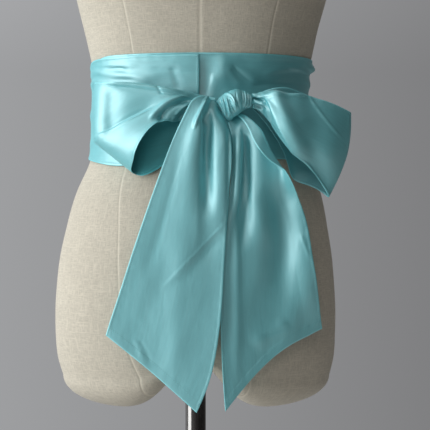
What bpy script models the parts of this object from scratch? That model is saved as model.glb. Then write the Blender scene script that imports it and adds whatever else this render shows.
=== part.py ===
"""A wide satin sash, wrapped round the waist of a limbless dress form and tied in front in a bow.

Sizes are in millimetres until the meshes are made, which are in metres. The origin is the middle of the
base plate's underside, +Z is up, and the bow faces -Y. Angles round the body start at the front and grow
towards +X.
"""

from collections import namedtuple

import bpy
import numpy as np

METRES = 0.001

# Cloth
WALL = 1.2
SEAM_GAP = 0.6
CLEARANCE = 0.9

# Stand
BASE_RADIUS = 190.0
BASE_THICKNESS = 10.0
SOCKET_RADIUS = 19.0
SOCKET_TOP = 55.0
SOCKET_FLOOR = 6.0
POLE_RADIUS = 12.5
POLE_FIT = 0.4
POLE_TOP = 790.0

# Dress form
FORM_SEGMENTS = 40
ROUNDNESS = 2.2
HEM_LEVEL = 703.0
LOBE_BOTTOM = 663.0
ARCH_HEIGHT = 60.0
ARCH_HALF_WIDTH = 42.0
ARCH_EDGE_LIFT = 30.0
ARCH_FADE = 80.0
BUST_LEVEL = 1238.0
BUST_ANGLE = 0.62
BUST_RISE = 18.0
BUST_HALF_ANGLE = 0.5
BUST_HALF_HEIGHT = 62.0

# Waist band
OVERLAP_ANGLE = -0.2
UNDERLAP_ANGLE = -81.0
BACK_GAP_ANGLE = 0.15
OVER_TOP_DROP = 2.0
TUCKED_TOP_DROP = 5.0
BAND_DEPTH = 3.7
REST_GAP = 1.8
REST_EASE = 3.0
DIP_ANGLE = -38.0
DIP_SPREAD = 26.0
DIP_DEPTH = 8.0
SIDE_ANGLE = -103.0
SIDE_SPREAD = 20.0
SIDE_DROP = 15.0
SIDE_RISE = 7.0

# Knot centre
KNOT_X = 49.0
KNOT_Z = 1018.0

FormRow = namedtuple("FormRow", "level half_width front back sway")
FORM = [
    FormRow(703, 160, 96, 108, 1.0),
    FormRow(721, 165, 101, 114, 0.5),
    FormRow(747, 167.5, 106, 120, 0.0),
    FormRow(781, 168, 110, 125, 0.0),
    FormRow(815, 166, 112, 126, 0.2),
    FormRow(847, 162.5, 112, 122, 0.8),
    FormRow(876, 157, 110, 114, 1.8),
    FormRow(904, 151, 107, 105, 3.0),
    FormRow(928, 143.5, 103, 97, 4.2),
    FormRow(957, 131.8, 98, 90, 5.4),
    FormRow(995, 128.5, 94, 86, 5.8),
    FormRow(1040, 127.8, 92, 85, 6.2),
    FormRow(1064, 129.2, 93, 86, 6.6),
    FormRow(1083, 133, 95, 88, 6.8),
    FormRow(1118, 141, 100, 93, 6.6),
    FormRow(1152, 150, 106, 97, 7.2),
    FormRow(1200, 158, 112, 102, 7.4),
    FormRow(1240, 161, 114, 106, 7.4),
    FormRow(1290, 160, 108, 108, 7.0),
    FormRow(1340, 165, 96, 105, 6.5),
    FormRow(1385, 166, 82, 96, 6.0),
    FormRow(1418, 146, 68, 82, 6.0),
    FormRow(1442, 104, 56, 70, 6.0),
    FormRow(1460, 69, 49, 61, 6.0),
    FormRow(1480, 54, 46, 54, 6.0),
    FormRow(1525, 51, 46, 50, 6.0),
]
BAND_LEVELS = [957, 975, 993, 1011, 1027, 1041, 1053, 1062, 1068, 1073, 1078]
FORM_RING_LEVELS = (
    [703, 720, 748, 781, 815, 850, 885, 915, 938]
    + BAND_LEVELS
    + [1100, 1130, 1165, 1200, 1238, 1276, 1315, 1355, 1390, 1418, 1436, 1452, 1472, 1500, 1525]
)
BOTTOM_SHARES = [0.96, 0.88, 0.74, 0.56, 0.36, 0.16, 0.03]

# A fold stands out by rise, at an angle and level on the band, and fades over its spreads.
BandFold = namedtuple("BandFold", "angle level angle_spread level_spread slant rise")
OVER_FOLDS = [
    BandFold(-62, 1063, 15, 4.5, 0.10, 2.2),
    BandFold(-74, 1049, 12, 4.5, 0.15, 2.6),
    BandFold(-25, 1050, 9, 7.0, 0.40, 1.4),
]
UNDER_FOLDS = [
    BandFold(93, 1069, 17, 4.2, 0.00, 6.0),
    BandFold(80, 1050, 14, 6.0, -0.10, 2.0),
    BandFold(9, 1057, 4, 14.0, 0.00, 4.0),
    BandFold(23, 1054, 6, 5.0, -0.90, 1.6),
]

# One row for each section of a tail, from the knot to the hem. x and z are from the knot's centre, and
# middle_lift raises the middle of the section.
TailRow = namedtuple("TailRow", "share left_x left_z left_y right_x right_z right_y middle_lift")
LEFT_TAIL = [
    TailRow(0.00, -26, 5, -113, -12.4, -23.5, -113, 0),
    TailRow(0.04, -38, 8.5, -121, -10, -29, -119, 0),
    TailRow(0.08, -49, 5, -126, -8, -36, -123, 0),
    TailRow(0.13, -57, -7, -128, -7, -47, -126, 0),
    TailRow(0.20, -67, -28, -128, -7, -66, -127, 0),
    TailRow(0.30, -78, -54, -127, -9, -92, -127, 0),
    TailRow(0.45, -96, -103, -124, -12, -132, -127, 0),
    TailRow(0.65, -117, -164, -119, -15.5, -190, -127, 0),
    TailRow(0.85, -137, -224, -112, -23, -272, -127, 0),
    TailRow(0.93, -144, -245, -109, -32, -312, -126, 0),
    TailRow(1.00, -149, -260, -106, -46, -346, -126, 2),
]
RIGHT_TAIL = [
    TailRow(0.00, -11, -20.9, -106, 2, -10.3, -106, 0),
    TailRow(0.05, -8, -31, -112, 13.5, -16.5, -114, 0),
    TailRow(0.10, -5.5, -43, -115, 25, -28, -119, 0),
    TailRow(0.16, -5, -57, -117, 31, -39, -120, 0),
    TailRow(0.22, -5, -74, -118, 38, -55, -119, 0),
    TailRow(0.30, -5.5, -96, -119, 52, -75, -117, 0),
    TailRow(0.38, -7.3, -119, -120, 64, -95, -113, 0),
    TailRow(0.50, -11, -155, -121, 77, -130, -107, 0),
    TailRow(0.65, -13.7, -203, -122, 84, -167, -101, 0),
    TailRow(0.80, -16, -253, -122, 89, -203, -96, 2),
    TailRow(0.92, -17, -305, -122, 93, -238, -92, 9),
    TailRow(1.00, -14, -345, -122, 95, -257, -90, 15),
]

# One row for each fold that runs down a tail: where it starts and ends, where it lies across, how wide it
# is there as a share of the cloth, and how far it stands towards the front.
TailFold = namedtuple("TailFold", "start end top_place end_place top_width end_width rise")
LEFT_TAIL_FOLDS = [
    TailFold(0.02, 0.80, 0.28, 0.46, 0.10, 0.22, 4),
    TailFold(0.06, 0.50, 0.50, 0.66, 0.08, 0.13, -13),
    TailFold(0.03, 0.75, 0.84, 0.90, 0.12, 0.10, 6),
    TailFold(0.70, 1.10, 0.22, 0.26, 0.05, 0.07, 2),
    TailFold(0.55, 1.30, 0.80, 0.72, 0.18, 0.30, -5),
]
RIGHT_TAIL_FOLDS = [
    TailFold(0.03, 0.60, 0.16, 0.05, 0.10, 0.05, 5),
    TailFold(0.05, 0.50, 0.38, 0.14, 0.10, 0.07, -10),
    TailFold(0.28, 0.80, 0.40, 0.42, 0.12, 0.14, 4),
    TailFold(0.30, 0.95, 0.70, 0.62, 0.14, 0.16, -6),
    TailFold(0.42, 1.25, 0.95, 0.60, 0.13, 0.18, 5),
]

# The right tail's side hem is turned over onto its face below the knot, and untwists further down.
# One row for each section: how far the strip is turned, and how wide it is.
TurnRow = namedtuple("TurnRow", "share degrees width")
TURNBACK = [
    TurnRow(0.00, 160, 7),
    TurnRow(0.06, 160, 13),
    TurnRow(0.12, 159, 20),
    TurnRow(0.18, 154, 21),
    TurnRow(0.24, 130, 21),
    TurnRow(0.30, 85, 21),
    TurnRow(0.36, 45, 21),
    TurnRow(0.44, 15, 21),
    TurnRow(0.60, 2, 21),
    TurnRow(1.00, 0, 21),
]

# One row for each section of a loop, from its front root out to the turn and back behind. A section runs
# from the upper hem over a ridge to the lower hem, and roundness 0 keeps the ridge a sharp crease.
LoopRow = namedtuple("LoopRow", "share ux uy uz mx my mz lx ly lz roundness")
LEFT_LOOP = [
    LoopRow(0.00, -24.6, -106, 7, -24.6, -108, 0, -24.6, -106, -7, 1.0),
    LoopRow(0.08, -39, -106, 10, -40, -110, -1, -39, -103, -12, 1.0),
    LoopRow(0.16, -54, -108, 13, -57, -116, 0, -54, -103, -17, 1.0),
    LoopRow(0.25, -75, -114, 17, -80, -122, -1.6, -73, -113, -20, 0.9),
    LoopRow(0.34, -100, -113, 22, -110.4, -119, -9.4, -92.5, -128, -24.8, 0.55),
    LoopRow(0.42, -129.3, -107, 25, -136.3, -114, -25.6, -109.4, -131, -46.5, 0.25),
    LoopRow(0.47, -151.6, -96, 25.6, -155.7, -103, -36.9, -117.5, -122, -66.3, 0.1),
    LoopRow(0.50, -163.8, -78, 26.7, -164.8, -85, -40.7, -119.6, -108, -75.3, 0.1),
    LoopRow(0.53, -158.6, -60, 24.8, -157.6, -66, -40.3, -115, -94, -79, 0.2),
    LoopRow(0.60, -132, -68, 23, -130, -76, -34, -106, -95, -80, 0.7),
    LoopRow(0.72, -98, -89, 18, -96, -94, -24, -86, -98, -70, 1.0),
    LoopRow(0.85, -62, -98, 12, -60, -100, -10, -57, -100, -41, 1.0),
    LoopRow(0.94, -40, -98.5, 9, -40, -99, -2, -40, -99, -18, 1.0),
    LoopRow(1.00, -25, -98, 6, -25, -98, 0, -25, -98, -7, 1.0),
]
RIGHT_LOOP = [
    LoopRow(0.00, 16.8, -109, 10, 16.8, -111, 3, 16.8, -109, -4, 1.0),
    LoopRow(0.07, 28, -110, 14, 27, -116, 3, 25, -108, -8, 1.0),
    LoopRow(0.15, 42, -113, 14, 37, -125, -5, 33, -112, -17, 0.9),
    LoopRow(0.24, 57, -115, 12, 51, -131, -17, 41, -117, -29, 0.8),
    LoopRow(0.33, 73, -113, 11, 71, -130, -31, 53, -121, -45, 0.8),
    LoopRow(0.42, 100, -105, 4, 99, -120, -46, 76, -118, -68, 0.8),
    LoopRow(0.47, 118, -98, -3, 117, -107, -53, 94, -111, -89, 0.8),
    LoopRow(0.50, 129, -91, -8, 125, -95, -56, 103, -104, -104, 0.8),
    LoopRow(0.53, 124, -85, -6, 119, -86, -54, 98, -97, -101, 0.8),
    LoopRow(0.60, 106, -82, 3, 101, -76, -46, 80, -90, -91, 0.8),
    LoopRow(0.70, 78, -88, 13, 75, -80, -31, 63, -86, -83, 0.8),
    LoopRow(0.82, 55, -97, 20, 52, -92, -20, 53, -95, -55, 1.0),
    LoopRow(0.92, 34, -101, 17, 33, -98, -1, 34, -98, -24, 1.0),
    LoopRow(1.00, 16.8, -100, 9, 16.8, -99, 2, 16.8, -100, -4, 1.0),
]

# Gathers that fan out from the knot: how many, how deep, and how far they reach along the loop.
GATHER_WAVES = 2.0
GATHER_DEPTH = 1.8
GATHER_REACH = 0.16

# One row for each ring of the knot, from its left end to its right end.
KnotRow = namedtuple("KnotRow", "share x y z half_height half_depth lean bow")
KNOT = [
    KnotRow(0.00, -19.5, -109.5, -4.0, 7.0, 8.0, 4.4, 0.0),
    KnotRow(0.16, -15.5, -109.0, -3.8, 12.6, 11.5, 3.4, 0.0),
    KnotRow(0.36, -9.5, -108.5, -2.2, 14.8, 14.0, 0.4, 0.5),
    KnotRow(0.54, -2.5, -107.3, 0.6, 12.2, 14.4, -1.8, 1.2),
    KnotRow(0.72, 5.0, -105.5, 3.2, 9.6, 13.4, -0.6, 2.0),
    KnotRow(0.88, 10.8, -103.8, 3.2, 8.4, 11.5, 0.0, 1.4),
    KnotRow(1.00, 15.4, -102.5, 2.8, 6.8, 9.0, 0.4, 0.0),
]
KNOT_RINGS = 27
KNOT_SIDES = 16
KNOT_PLEATS = 6
KNOT_PLEAT_DEPTH = 0.06

SATIN = ("satin", (0.22, 0.55, 0.58), 0.32, 0.0)
LINEN = ("linen", (0.55, 0.49, 0.39), 0.9, 0.0)
STEEL = ("polished_steel", (0.62, 0.6, 0.57), 0.18, 1.0)
PAINT = ("base_paint", (0.05, 0.05, 0.05), 0.45, 0.0)


def clear_scene():
    for thing in list(bpy.data.objects):
        bpy.data.objects.remove(thing)


def spline(knots, values, at):
    """A natural cubic spline through the values at the knots."""
    knots, values = np.array(knots, float), np.array(values, float)
    step, rise = np.diff(knots), np.diff(values)
    count = len(knots)
    system, right = np.eye(count), np.zeros(count)
    for i in range(1, count - 1):
        system[i, i - 1 : i + 2] = step[i - 1], 2 * (step[i - 1] + step[i]), step[i]
        right[i] = 6 * (rise[i] / step[i] - rise[i - 1] / step[i - 1])
    bend = np.linalg.solve(system, right)
    at = np.asarray(at, float)
    i = np.clip(np.searchsorted(knots, at) - 1, 0, count - 2)
    before, after, width = at - knots[i], knots[i + 1] - at, step[i]
    return (
        (bend[i] * after**3 + bend[i + 1] * before**3) / (6 * width)
        + (values[i] / width - bend[i] * width / 6) * after
        + (values[i + 1] / width - bend[i + 1] * width / 6) * before
    )


def column(rows, name, at):
    """A table's named column, read as a smooth curve over its first column."""
    return spline([row[0] for row in rows], [getattr(row, name) for row in rows], at)


def smooth_step(x):
    x = np.clip(x, 0.0, 1.0)
    return x * x * (3 - 2 * x)


def arch(x):
    """1 at the middle of the arch between the form's two lower lobes, fading to the sides."""
    return np.exp(-((x / ARCH_HALF_WIDTH) ** 2))


def form_point(level, angle):
    """A point of the dress form at a level and an angle, both arrays or numbers."""
    half_width = column(FORM, "half_width", level)
    front, back = column(FORM, "front", level), column(FORM, "back", level)
    s, c = np.sin(angle), np.cos(angle)
    power = 2 / ROUNDNESS
    x = column(FORM, "sway", level) + half_width * np.sign(s) * np.abs(s) ** power
    depth = np.where(c > 0, front, back)
    y = -depth * np.sign(c) * np.abs(c) ** power
    for side in (-1, 1):
        across, up = (angle - side * BUST_ANGLE) / BUST_HALF_ANGLE, (level - BUST_LEVEL) / BUST_HALF_HEIGHT
        y = y - BUST_RISE * np.exp(-(across**2) - up**2)
    lift = ARCH_EDGE_LIFT * np.clip((HEM_LEVEL + ARCH_FADE - level) / ARCH_FADE, 0, 1) * arch(x)
    return np.stack([x, y, level + lift + 0 * x], axis=-1)


def bottom_point(share, angle):
    """A point of the form's closed underside; share is 1 at its edge and 0 in the middle."""
    edge = form_point(HEM_LEVEL + 0 * angle, angle)
    x, y = edge[..., 0] * share, edge[..., 1] * share
    low = LOBE_BOTTOM + ARCH_HEIGHT * arch(x)
    rounding = 1 - np.sqrt(1 - share**4)
    return np.stack([x, y, low + (edge[..., 2] - low) * rounding], axis=-1)


def turns(count):
    """Angles round the body, from the back by way of the left to the front and the right."""
    return np.linspace(-np.pi, np.pi, count, endpoint=False)


def mesh_object(name, points, faces, look):
    """A smooth-shaded object with its own material, from points in millimetres."""
    mesh = bpy.data.meshes.new(name)
    mesh.from_pydata([tuple(p) for p in np.asarray(points) * METRES], [], faces)
    mesh.validate()
    thing = bpy.data.objects.new(name, mesh)
    bpy.context.scene.collection.objects.link(thing)
    slot, colour, roughness, metallic = look
    material = bpy.data.materials.get(slot) or bpy.data.materials.new(slot)
    material.use_nodes = True
    shader = material.node_tree.nodes["Principled BSDF"]
    shader.inputs["Base Color"].default_value = (*colour, 1.0)
    shader.inputs["Roughness"].default_value = roughness
    shader.inputs["Metallic"].default_value = metallic
    mesh.materials.append(material)
    mesh.shade_smooth()
    mesh.set_sharp_from_angle(angle=np.radians(50))
    return thing


def grid_faces(rows, columns, start=0, wrap=False, flip=False):
    """Quads over a grid of points, joined round on itself if wrap is set."""
    faces = []
    for i in range(rows - 1):
        for j in range(columns if wrap else columns - 1):
            k = (j + 1) % columns
            quad = (
                start + i * columns + j,
                start + i * columns + k,
                start + (i + 1) * columns + k,
                start + (i + 1) * columns + j,
            )
            faces.append(quad[::-1] if flip else quad)
    return faces


def closed_rings(name, rings, look):
    """A solid from rings of points, each end closed by a fan round its middle."""
    rings = np.asarray(rings)
    count, sides = rings.shape[:2]
    points = list(rings.reshape(-1, 3)) + [rings[0].mean(0), rings[-1].mean(0)]
    faces = grid_faces(count, sides, wrap=True)
    first, last = count * sides, count * sides + 1
    for j in range(sides):
        k = (j + 1) % sides
        faces.append((first, k, j))
        faces.append((last, (count - 1) * sides + j, (count - 1) * sides + k))
    return mesh_object(name, points, faces, look)


def grid_normals(grid):
    along, across = np.gradient(grid, axis=0), np.gradient(grid, axis=1)
    normal = np.cross(along, across)
    return normal / np.maximum(np.linalg.norm(normal, axis=-1, keepdims=True), 1e-9)


def cloth_wall(name, grid):
    """A cloth wall of even thickness: the grid of points moved half a wall to each side, and rimmed."""
    rows, columns = grid.shape[:2]
    normal = grid_normals(grid)
    outer, inner = grid + normal * WALL / 2, grid - normal * WALL / 2
    points = np.concatenate([outer.reshape(-1, 3), inner.reshape(-1, 3)])
    far = rows * columns
    faces = grid_faces(rows, columns, flip=True) + grid_faces(rows, columns, far)
    rim = list(range(columns))
    rim += [i * columns + columns - 1 for i in range(1, rows)]
    rim += [(rows - 1) * columns + j for j in range(columns - 2, -1, -1)]
    rim += [i * columns for i in range(rows - 2, 0, -1)]
    for a, b in zip(rim, rim[1:] + rim[:1]):
        faces.append((a, b, far + b, far + a))
    return mesh_object(name, points, faces, SATIN)


def moved_out(level, angle, distance):
    """Form points moved out along the form's surface normal."""
    small = 1e-3
    here = form_point(level, angle)
    up = form_point(level + 1.0, angle) - here
    round_it = form_point(level, angle + small) - here
    normal = np.cross(round_it, up)
    normal /= np.linalg.norm(normal, axis=-1, keepdims=True)
    return here + normal * distance[..., None]


def band_surface(angles, folds, top_drop, lift):
    """The middle of a band layer. lift is how far it stands off the form at each angle."""
    degrees = np.asarray(angles, float)[:, None]
    level = np.array(BAND_LEVELS, float)[None, :]
    height = (level - level.min()) / np.ptp(level)
    dip = DIP_DEPTH * np.exp(-(((degrees - DIP_ANGLE) / DIP_SPREAD) ** 2))
    side = np.exp(-(((degrees - SIDE_ANGLE) / SIDE_SPREAD) ** 2))
    level = level + (SIDE_RISE * side - dip) * (1 - height) ** 3
    level = level - (SIDE_DROP * side + top_drop(degrees)) * height**3
    distance = lift(degrees) + WALL / 2 + 0 * level
    for fold in folds:
        middle = fold.level + fold.slant * (degrees - fold.angle)
        across = ((degrees - fold.angle) / fold.angle_spread) ** 2
        distance = distance + fold.rise * np.exp(-across - ((level - middle) / fold.level_spread) ** 2)
    return moved_out(level, np.radians(degrees) + 0 * level, distance)


def over_lift(degrees):
    """The outer layer climbs onto the inner one at the left side."""
    return CLEARANCE + (WALL + SEAM_GAP) * smooth_step((degrees - UNDERLAP_ANGLE + 14) / 10)


def over_top_drop(degrees):
    return OVER_TOP_DROP + 0 * degrees


def under_lift(degrees):
    return CLEARANCE + 0 * degrees


def under_top_drop(degrees):
    """The inner layer's top hem tucks below the outer one towards its hidden end."""
    return TUCKED_TOP_DROP * smooth_step((-50 - degrees) / 25)


def fold_relief(folds, share, place):
    """How far the folds of a tail stand forward at each point."""
    relief = np.zeros(np.broadcast(share, place).shape)
    for fold in folds:
        reach = (share - fold.start) / (fold.end - fold.start)
        middle = fold.top_place + (fold.end_place - fold.top_place) * smooth_step(reach)
        width = fold.top_width + (fold.end_width - fold.top_width) * np.clip(reach, 0, 1)
        strength = smooth_step(reach / 0.2) * (1 - smooth_step((reach - 0.35) / 0.65))
        relief += fold.rise * strength * np.exp(-(((place - middle) / width) ** 2))
    return relief


def tail_surface(rows, folds, share, place):
    """A tail's surface from its side hems; share runs down it and place across it, as one grid each."""
    ends = []
    for side in ("left", "right"):
        ends.append(np.stack([column(rows, f"{side}_{axis}", share) for axis in "xyz"], axis=-1))
    left, right = ends
    grid = left + (right - left) * place[..., None]
    grid[..., 1] -= fold_relief(folds, share, place)
    grid[..., 2] += column(rows, "middle_lift", share) * np.sin(np.pi * np.clip(place, 0, 1))
    return grid + [KNOT_X, 0, KNOT_Z]


def strip_path(turn, share):
    """The path of a strip that bends through an angle over its first part and then runs straight."""
    bent = 0.45
    turn = np.maximum(turn, 1e-4)
    arc = turn * np.minimum(share, bent) / bent
    straight = np.maximum(share - bent, 0)
    run = bent / turn * np.sin(arc) + straight * np.cos(turn)
    climb = bent / turn * (1 - np.cos(arc)) + straight * np.sin(turn)
    return run, climb


def turned_over_tail(share, panel_steps, strip_steps):
    """The right tail with its side hem turned over: the panel, then the strip swung about the fold."""
    share = share[:, None]
    turn = np.radians(column(TURNBACK, "degrees", share))
    run, climb = strip_path(turn, np.linspace(0, 1, strip_steps + 1)[None, 1:])
    strip_width = column(TURNBACK, "width", share)
    sides = tail_surface(RIGHT_TAIL, [], share, np.array([[0.0, 1.0]]))
    width = np.linalg.norm(sides[:, 1:] - sides[:, :1], axis=-1)
    edge = 1 - strip_width * run.max(axis=1, keepdims=True) / width
    place = edge * np.linspace(0, 1, panel_steps)[None, :]
    panel = tail_surface(RIGHT_TAIL, RIGHT_TAIL_FOLDS, share, place)
    last = panel[:, -1:]
    sideways = last - panel[:, -3:-2]
    sideways /= np.linalg.norm(sideways, axis=-1, keepdims=True)
    down = np.gradient(last, axis=0)
    forward = np.cross(sideways, down)
    forward /= np.linalg.norm(forward, axis=-1, keepdims=True) * np.sign(-forward[..., 1:2])
    strip = last + strip_width[..., None] * (run[..., None] * sideways + climb[..., None] * forward)
    return np.concatenate([panel, strip], axis=1)


def in_front_of_band(grid):
    """Points behind the band's face, or close to it, eased out in front of it."""
    x, z = grid[..., 0] - column(FORM, "sway", grid[..., 2]), grid[..., 2]
    half_width = column(FORM, "half_width", z) + BAND_DEPTH
    front = column(FORM, "front", z) + BAND_DEPTH
    share = np.clip(np.abs(x) / half_width, 0, 0.97)
    face = -front * (1 - share**ROUNDNESS) ** (1 / ROUNDNESS) - REST_GAP
    behind = grid[..., 1] - face
    grid[..., 1] = face + (behind - np.sqrt(behind**2 + REST_EASE**2)) / 2
    return grid


def loop_surface(rows, share, place):
    """A loop of the bow; share runs along it and place across it from the upper to the lower hem."""
    share, place = share[:, None], place[None, :]
    upper, ridge, lower = (
        np.stack([column(rows, edge + axis, share) for axis in "xyz"], axis=-1) for edge in "uml"
    )
    place = place[..., None]
    sharp = np.where(
        place < 0.5, upper + (ridge - upper) * 2 * place, ridge + (lower - ridge) * (2 * place - 1)
    )
    soft = (
        upper * (2 * place - 1) * (place - 1)
        + ridge * 4 * place * (1 - place)
        + lower * place * (2 * place - 1)
    )
    roundness = np.clip(column(rows, "roundness", share), 0, 1)[..., None]
    grid = sharp + (soft - sharp) * roundness
    near = np.exp(-share / GATHER_REACH) + np.exp((share - 1) / GATHER_REACH)
    grid[..., 1] -= GATHER_DEPTH * near * np.sin(2 * np.pi * GATHER_WAVES * place[..., 0])
    return in_front_of_band(grid + [KNOT_X, 0, KNOT_Z])


def knot_rings(count, sides):
    """Rings of the knot, pleated round it, with each ring leant and bowed."""
    share = np.linspace(0, 1, count)[:, None]
    turn = np.linspace(0, -2 * np.pi, sides, endpoint=False)[None, :]
    names = ("x", "y", "z", "half_height", "half_depth", "lean", "bow")
    x, y, z, half_height, half_depth, lean, bow = (column(KNOT, name, share) for name in names)
    pleat = 1 + KNOT_PLEAT_DEPTH * np.cos(2 * np.pi * KNOT_PLEATS * share) * np.sin(np.pi * share) ** 0.3
    up, forward = np.sin(turn), np.cos(turn)
    across = KNOT_X + x - lean * up + bow * forward
    depth, height = y - half_depth * forward * pleat, KNOT_Z + z + half_height * up * pleat
    return np.stack([across, depth, height], axis=-1)


def make_form():
    """The torso, whole from neck to lower edge, with a socket for the pole."""
    angles = turns(FORM_SEGMENTS)
    rings = [bottom_point(share, angles) for share in reversed(BOTTOM_SHARES)]
    rings += [form_point(level + 0 * angles, angles) for level in map(float, FORM_RING_LEVELS)]
    neck = rings[-1]
    middle = neck.mean(0)
    rings += [middle + (neck - middle) * 0.93 + [0, 0, 4], middle + (neck - middle) * 0.75 + [0, 0, 6]]
    form = closed_rings("dress_form", rings, LINEN)
    bore, top = POLE_RADIUS + POLE_FIT, POLE_TOP + POLE_FIT
    cutter = turned("socket_cutter", [(0, 600), (bore, 600), (bore, top), (0, top)], LINEN)
    cutter.hide_render = True
    cutter.display_type = "WIRE"
    cut = form.modifiers.new("pole_socket", "BOOLEAN")
    cut.operation = "DIFFERENCE"
    cut.solver = "EXACT"
    cut.object = cutter


def turned(name, profile, look, sides=28):
    """A turned solid from (radius, height) pairs, the first and last of which are on the axis."""
    angles = np.linspace(0, 2 * np.pi, sides, endpoint=False)
    rings = [
        np.stack([r * np.cos(angles), r * np.sin(angles), h + 0 * angles], axis=-1)
        for r, h in profile[1:-1]
    ]
    points = list(np.concatenate(rings)) + [(0, 0, profile[0][1]), (0, 0, profile[-1][1])]
    faces = grid_faces(len(rings), sides, wrap=True)
    first, last = len(rings) * sides, len(rings) * sides + 1
    for j in range(sides):
        k = (j + 1) % sides
        faces.append((first, k, j))
        faces.append((last, (len(rings) - 1) * sides + j, (len(rings) - 1) * sides + k))
    return mesh_object(name, points, faces, look)


def make_stand():
    foot = SOCKET_FLOOR + POLE_FIT
    turned("pole", [(0, foot), (POLE_RADIUS, foot), (POLE_RADIUS, POLE_TOP), (0, POLE_TOP)], STEEL)
    bore = POLE_RADIUS + POLE_FIT
    turned("base", [
        (0, 0), (BASE_RADIUS - 2, 0), (BASE_RADIUS, 2), (BASE_RADIUS, BASE_THICKNESS - 3),
        (BASE_RADIUS - 5, BASE_THICKNESS), (SOCKET_RADIUS + 9, BASE_THICKNESS + 3),
        (SOCKET_RADIUS + 2, BASE_THICKNESS + 8), (SOCKET_RADIUS, BASE_THICKNESS + 18),
        (SOCKET_RADIUS, SOCKET_TOP - 2), (SOCKET_RADIUS - 2, SOCKET_TOP), (bore, SOCKET_TOP),
        (bore, SOCKET_FLOOR), (0, SOCKET_FLOOR),
    ], PAINT)


def band_angles(first, last):
    """The form's own angles between two ends, with twice as many at the front."""
    step = 360 / FORM_SEGMENTS
    angles = set(np.arange(-180, 180, step)) | set(np.arange(-45, 45, step / 2))
    return [first] + sorted(a for a in angles if first + 0.5 < a < last - 0.5) + [last]


def make_band():
    """The waist band's two layers: one from the back round the left, one from the back round the right."""
    back = 180 - BACK_GAP_ANGLE
    left = band_angles(-back, OVERLAP_ANGLE)
    right = band_angles(UNDERLAP_ANGLE, back)
    cloth_wall("band_over", band_surface(left, OVER_FOLDS, over_top_drop, over_lift))
    cloth_wall("band_under", band_surface(right, UNDER_FOLDS, under_top_drop, under_lift))


def make_bow():
    closed_rings("knot", knot_rings(KNOT_RINGS, KNOT_SIDES), SATIN)
    along, across = np.linspace(0, 1, 37), np.linspace(0, 1, 11)
    cloth_wall("loop_left", loop_surface(LEFT_LOOP, along, across))
    cloth_wall("loop_right", loop_surface(RIGHT_LOOP, along, across))
    down = np.linspace(0, 1, 28) ** 1.3
    tail_grid = np.meshgrid(down, np.linspace(0, 1, 16), indexing="ij")
    cloth_wall("tail_left", tail_surface(LEFT_TAIL, LEFT_TAIL_FOLDS, *tail_grid))
    cloth_wall("tail_right", turned_over_tail(down, 14, 5))


clear_scene()
make_form()
make_stand()
make_band()
make_bow()
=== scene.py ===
"""The looks of a satin sash tied round a dress form: fine cloth, linen, steel and paint, light and camera.

Sizes are in millimetres until the meshes are made, which are in metres. The origin is the middle of the
base plate's underside, +Z is up, and the bow faces -Y. Angles round the body start at the front and grow
towards +X. Creases are drawn over the photograph, in its pixels, or on the cloth itself.
"""

from collections import namedtuple

import bpy
import numpy as np
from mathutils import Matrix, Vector


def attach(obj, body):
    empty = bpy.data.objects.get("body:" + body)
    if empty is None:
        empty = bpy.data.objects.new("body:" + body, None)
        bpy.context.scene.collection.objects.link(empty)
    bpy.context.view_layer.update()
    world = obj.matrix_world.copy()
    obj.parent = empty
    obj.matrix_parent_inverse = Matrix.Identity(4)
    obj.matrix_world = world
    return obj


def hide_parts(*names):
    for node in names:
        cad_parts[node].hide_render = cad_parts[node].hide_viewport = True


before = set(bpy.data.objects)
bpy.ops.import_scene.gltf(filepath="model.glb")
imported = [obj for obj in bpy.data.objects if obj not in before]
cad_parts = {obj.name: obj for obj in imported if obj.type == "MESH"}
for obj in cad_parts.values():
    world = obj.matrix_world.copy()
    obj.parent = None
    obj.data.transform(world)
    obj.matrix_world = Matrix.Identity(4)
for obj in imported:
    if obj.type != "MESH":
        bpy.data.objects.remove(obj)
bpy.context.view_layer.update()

METRES = 0.001

# Photograph: the camera's place, and how wide its view is in the plane y = 0
PICTURE = 430
CAMERA_X, CAMERA_Y, CAMERA_Z = 23.5, -1700.0, 893.0
VIEW_WIDTH = 518.15

# Cloth
WALL = 1.2
CLEARANCE = 0.9
LAYER_STEP = 1.05
HALF_CLOTH = 0.32
HALF_HEM = 0.55
SIDE_HEM = 3.2
END_HEM = 11.0
SIDE_STEPS = np.array([0, 0.4, 1.1, 2.0, 2.6, 3.1, 3.7, 4.6, 6.2, 8.4])
TAIL_END_STEPS = np.array([0, 0.5, 1.6, 3.6, 6.4, 8.8, 9.9, 10.5, 11.2, 12.4, 15.0])
STITCH = 2.6

# Stand
BASE_RADIUS = 190.0
BASE_THICKNESS = 10.0
SOCKET_RADIUS = 19.0
SOCKET_TOP = 55.0
SOCKET_FLOOR = 6.0
POLE_RADIUS = 12.5
POLE_FIT = 0.4
POLE_TOP = 790.0

# Dress form
FORM_SEGMENTS = 40
ROUNDNESS = 2.2
HEM_LEVEL = 703.0
LOBE_BOTTOM = 663.0
ARCH_HEIGHT = 60.0
ARCH_HALF_WIDTH = 42.0
ARCH_EDGE_LIFT = 30.0
ARCH_FADE = 80.0
BUST_LEVEL = 1238.0
BUST_ANGLE = 0.62
BUST_RISE = 18.0
BUST_HALF_ANGLE = 0.5
BUST_HALF_HEIGHT = 62.0

# Waist band
OVERLAP_ANGLE = -0.2
UNDERLAP_ANGLE = -81.0
BACK_GAP_ANGLE = 0.15
OVER_TOP_DROP = 2.0
TUCKED_TOP_DROP = 5.0
BAND_DEPTH = 3.7
REST_GAP = 1.8
REST_EASE = 3.0
DIP_ANGLE = -38.0
DIP_SPREAD = 26.0
DIP_DEPTH = 8.0
SIDE_ANGLE = -103.0
SIDE_SPREAD = 20.0
SIDE_DROP = 15.0
SIDE_RISE = 7.0

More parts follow.
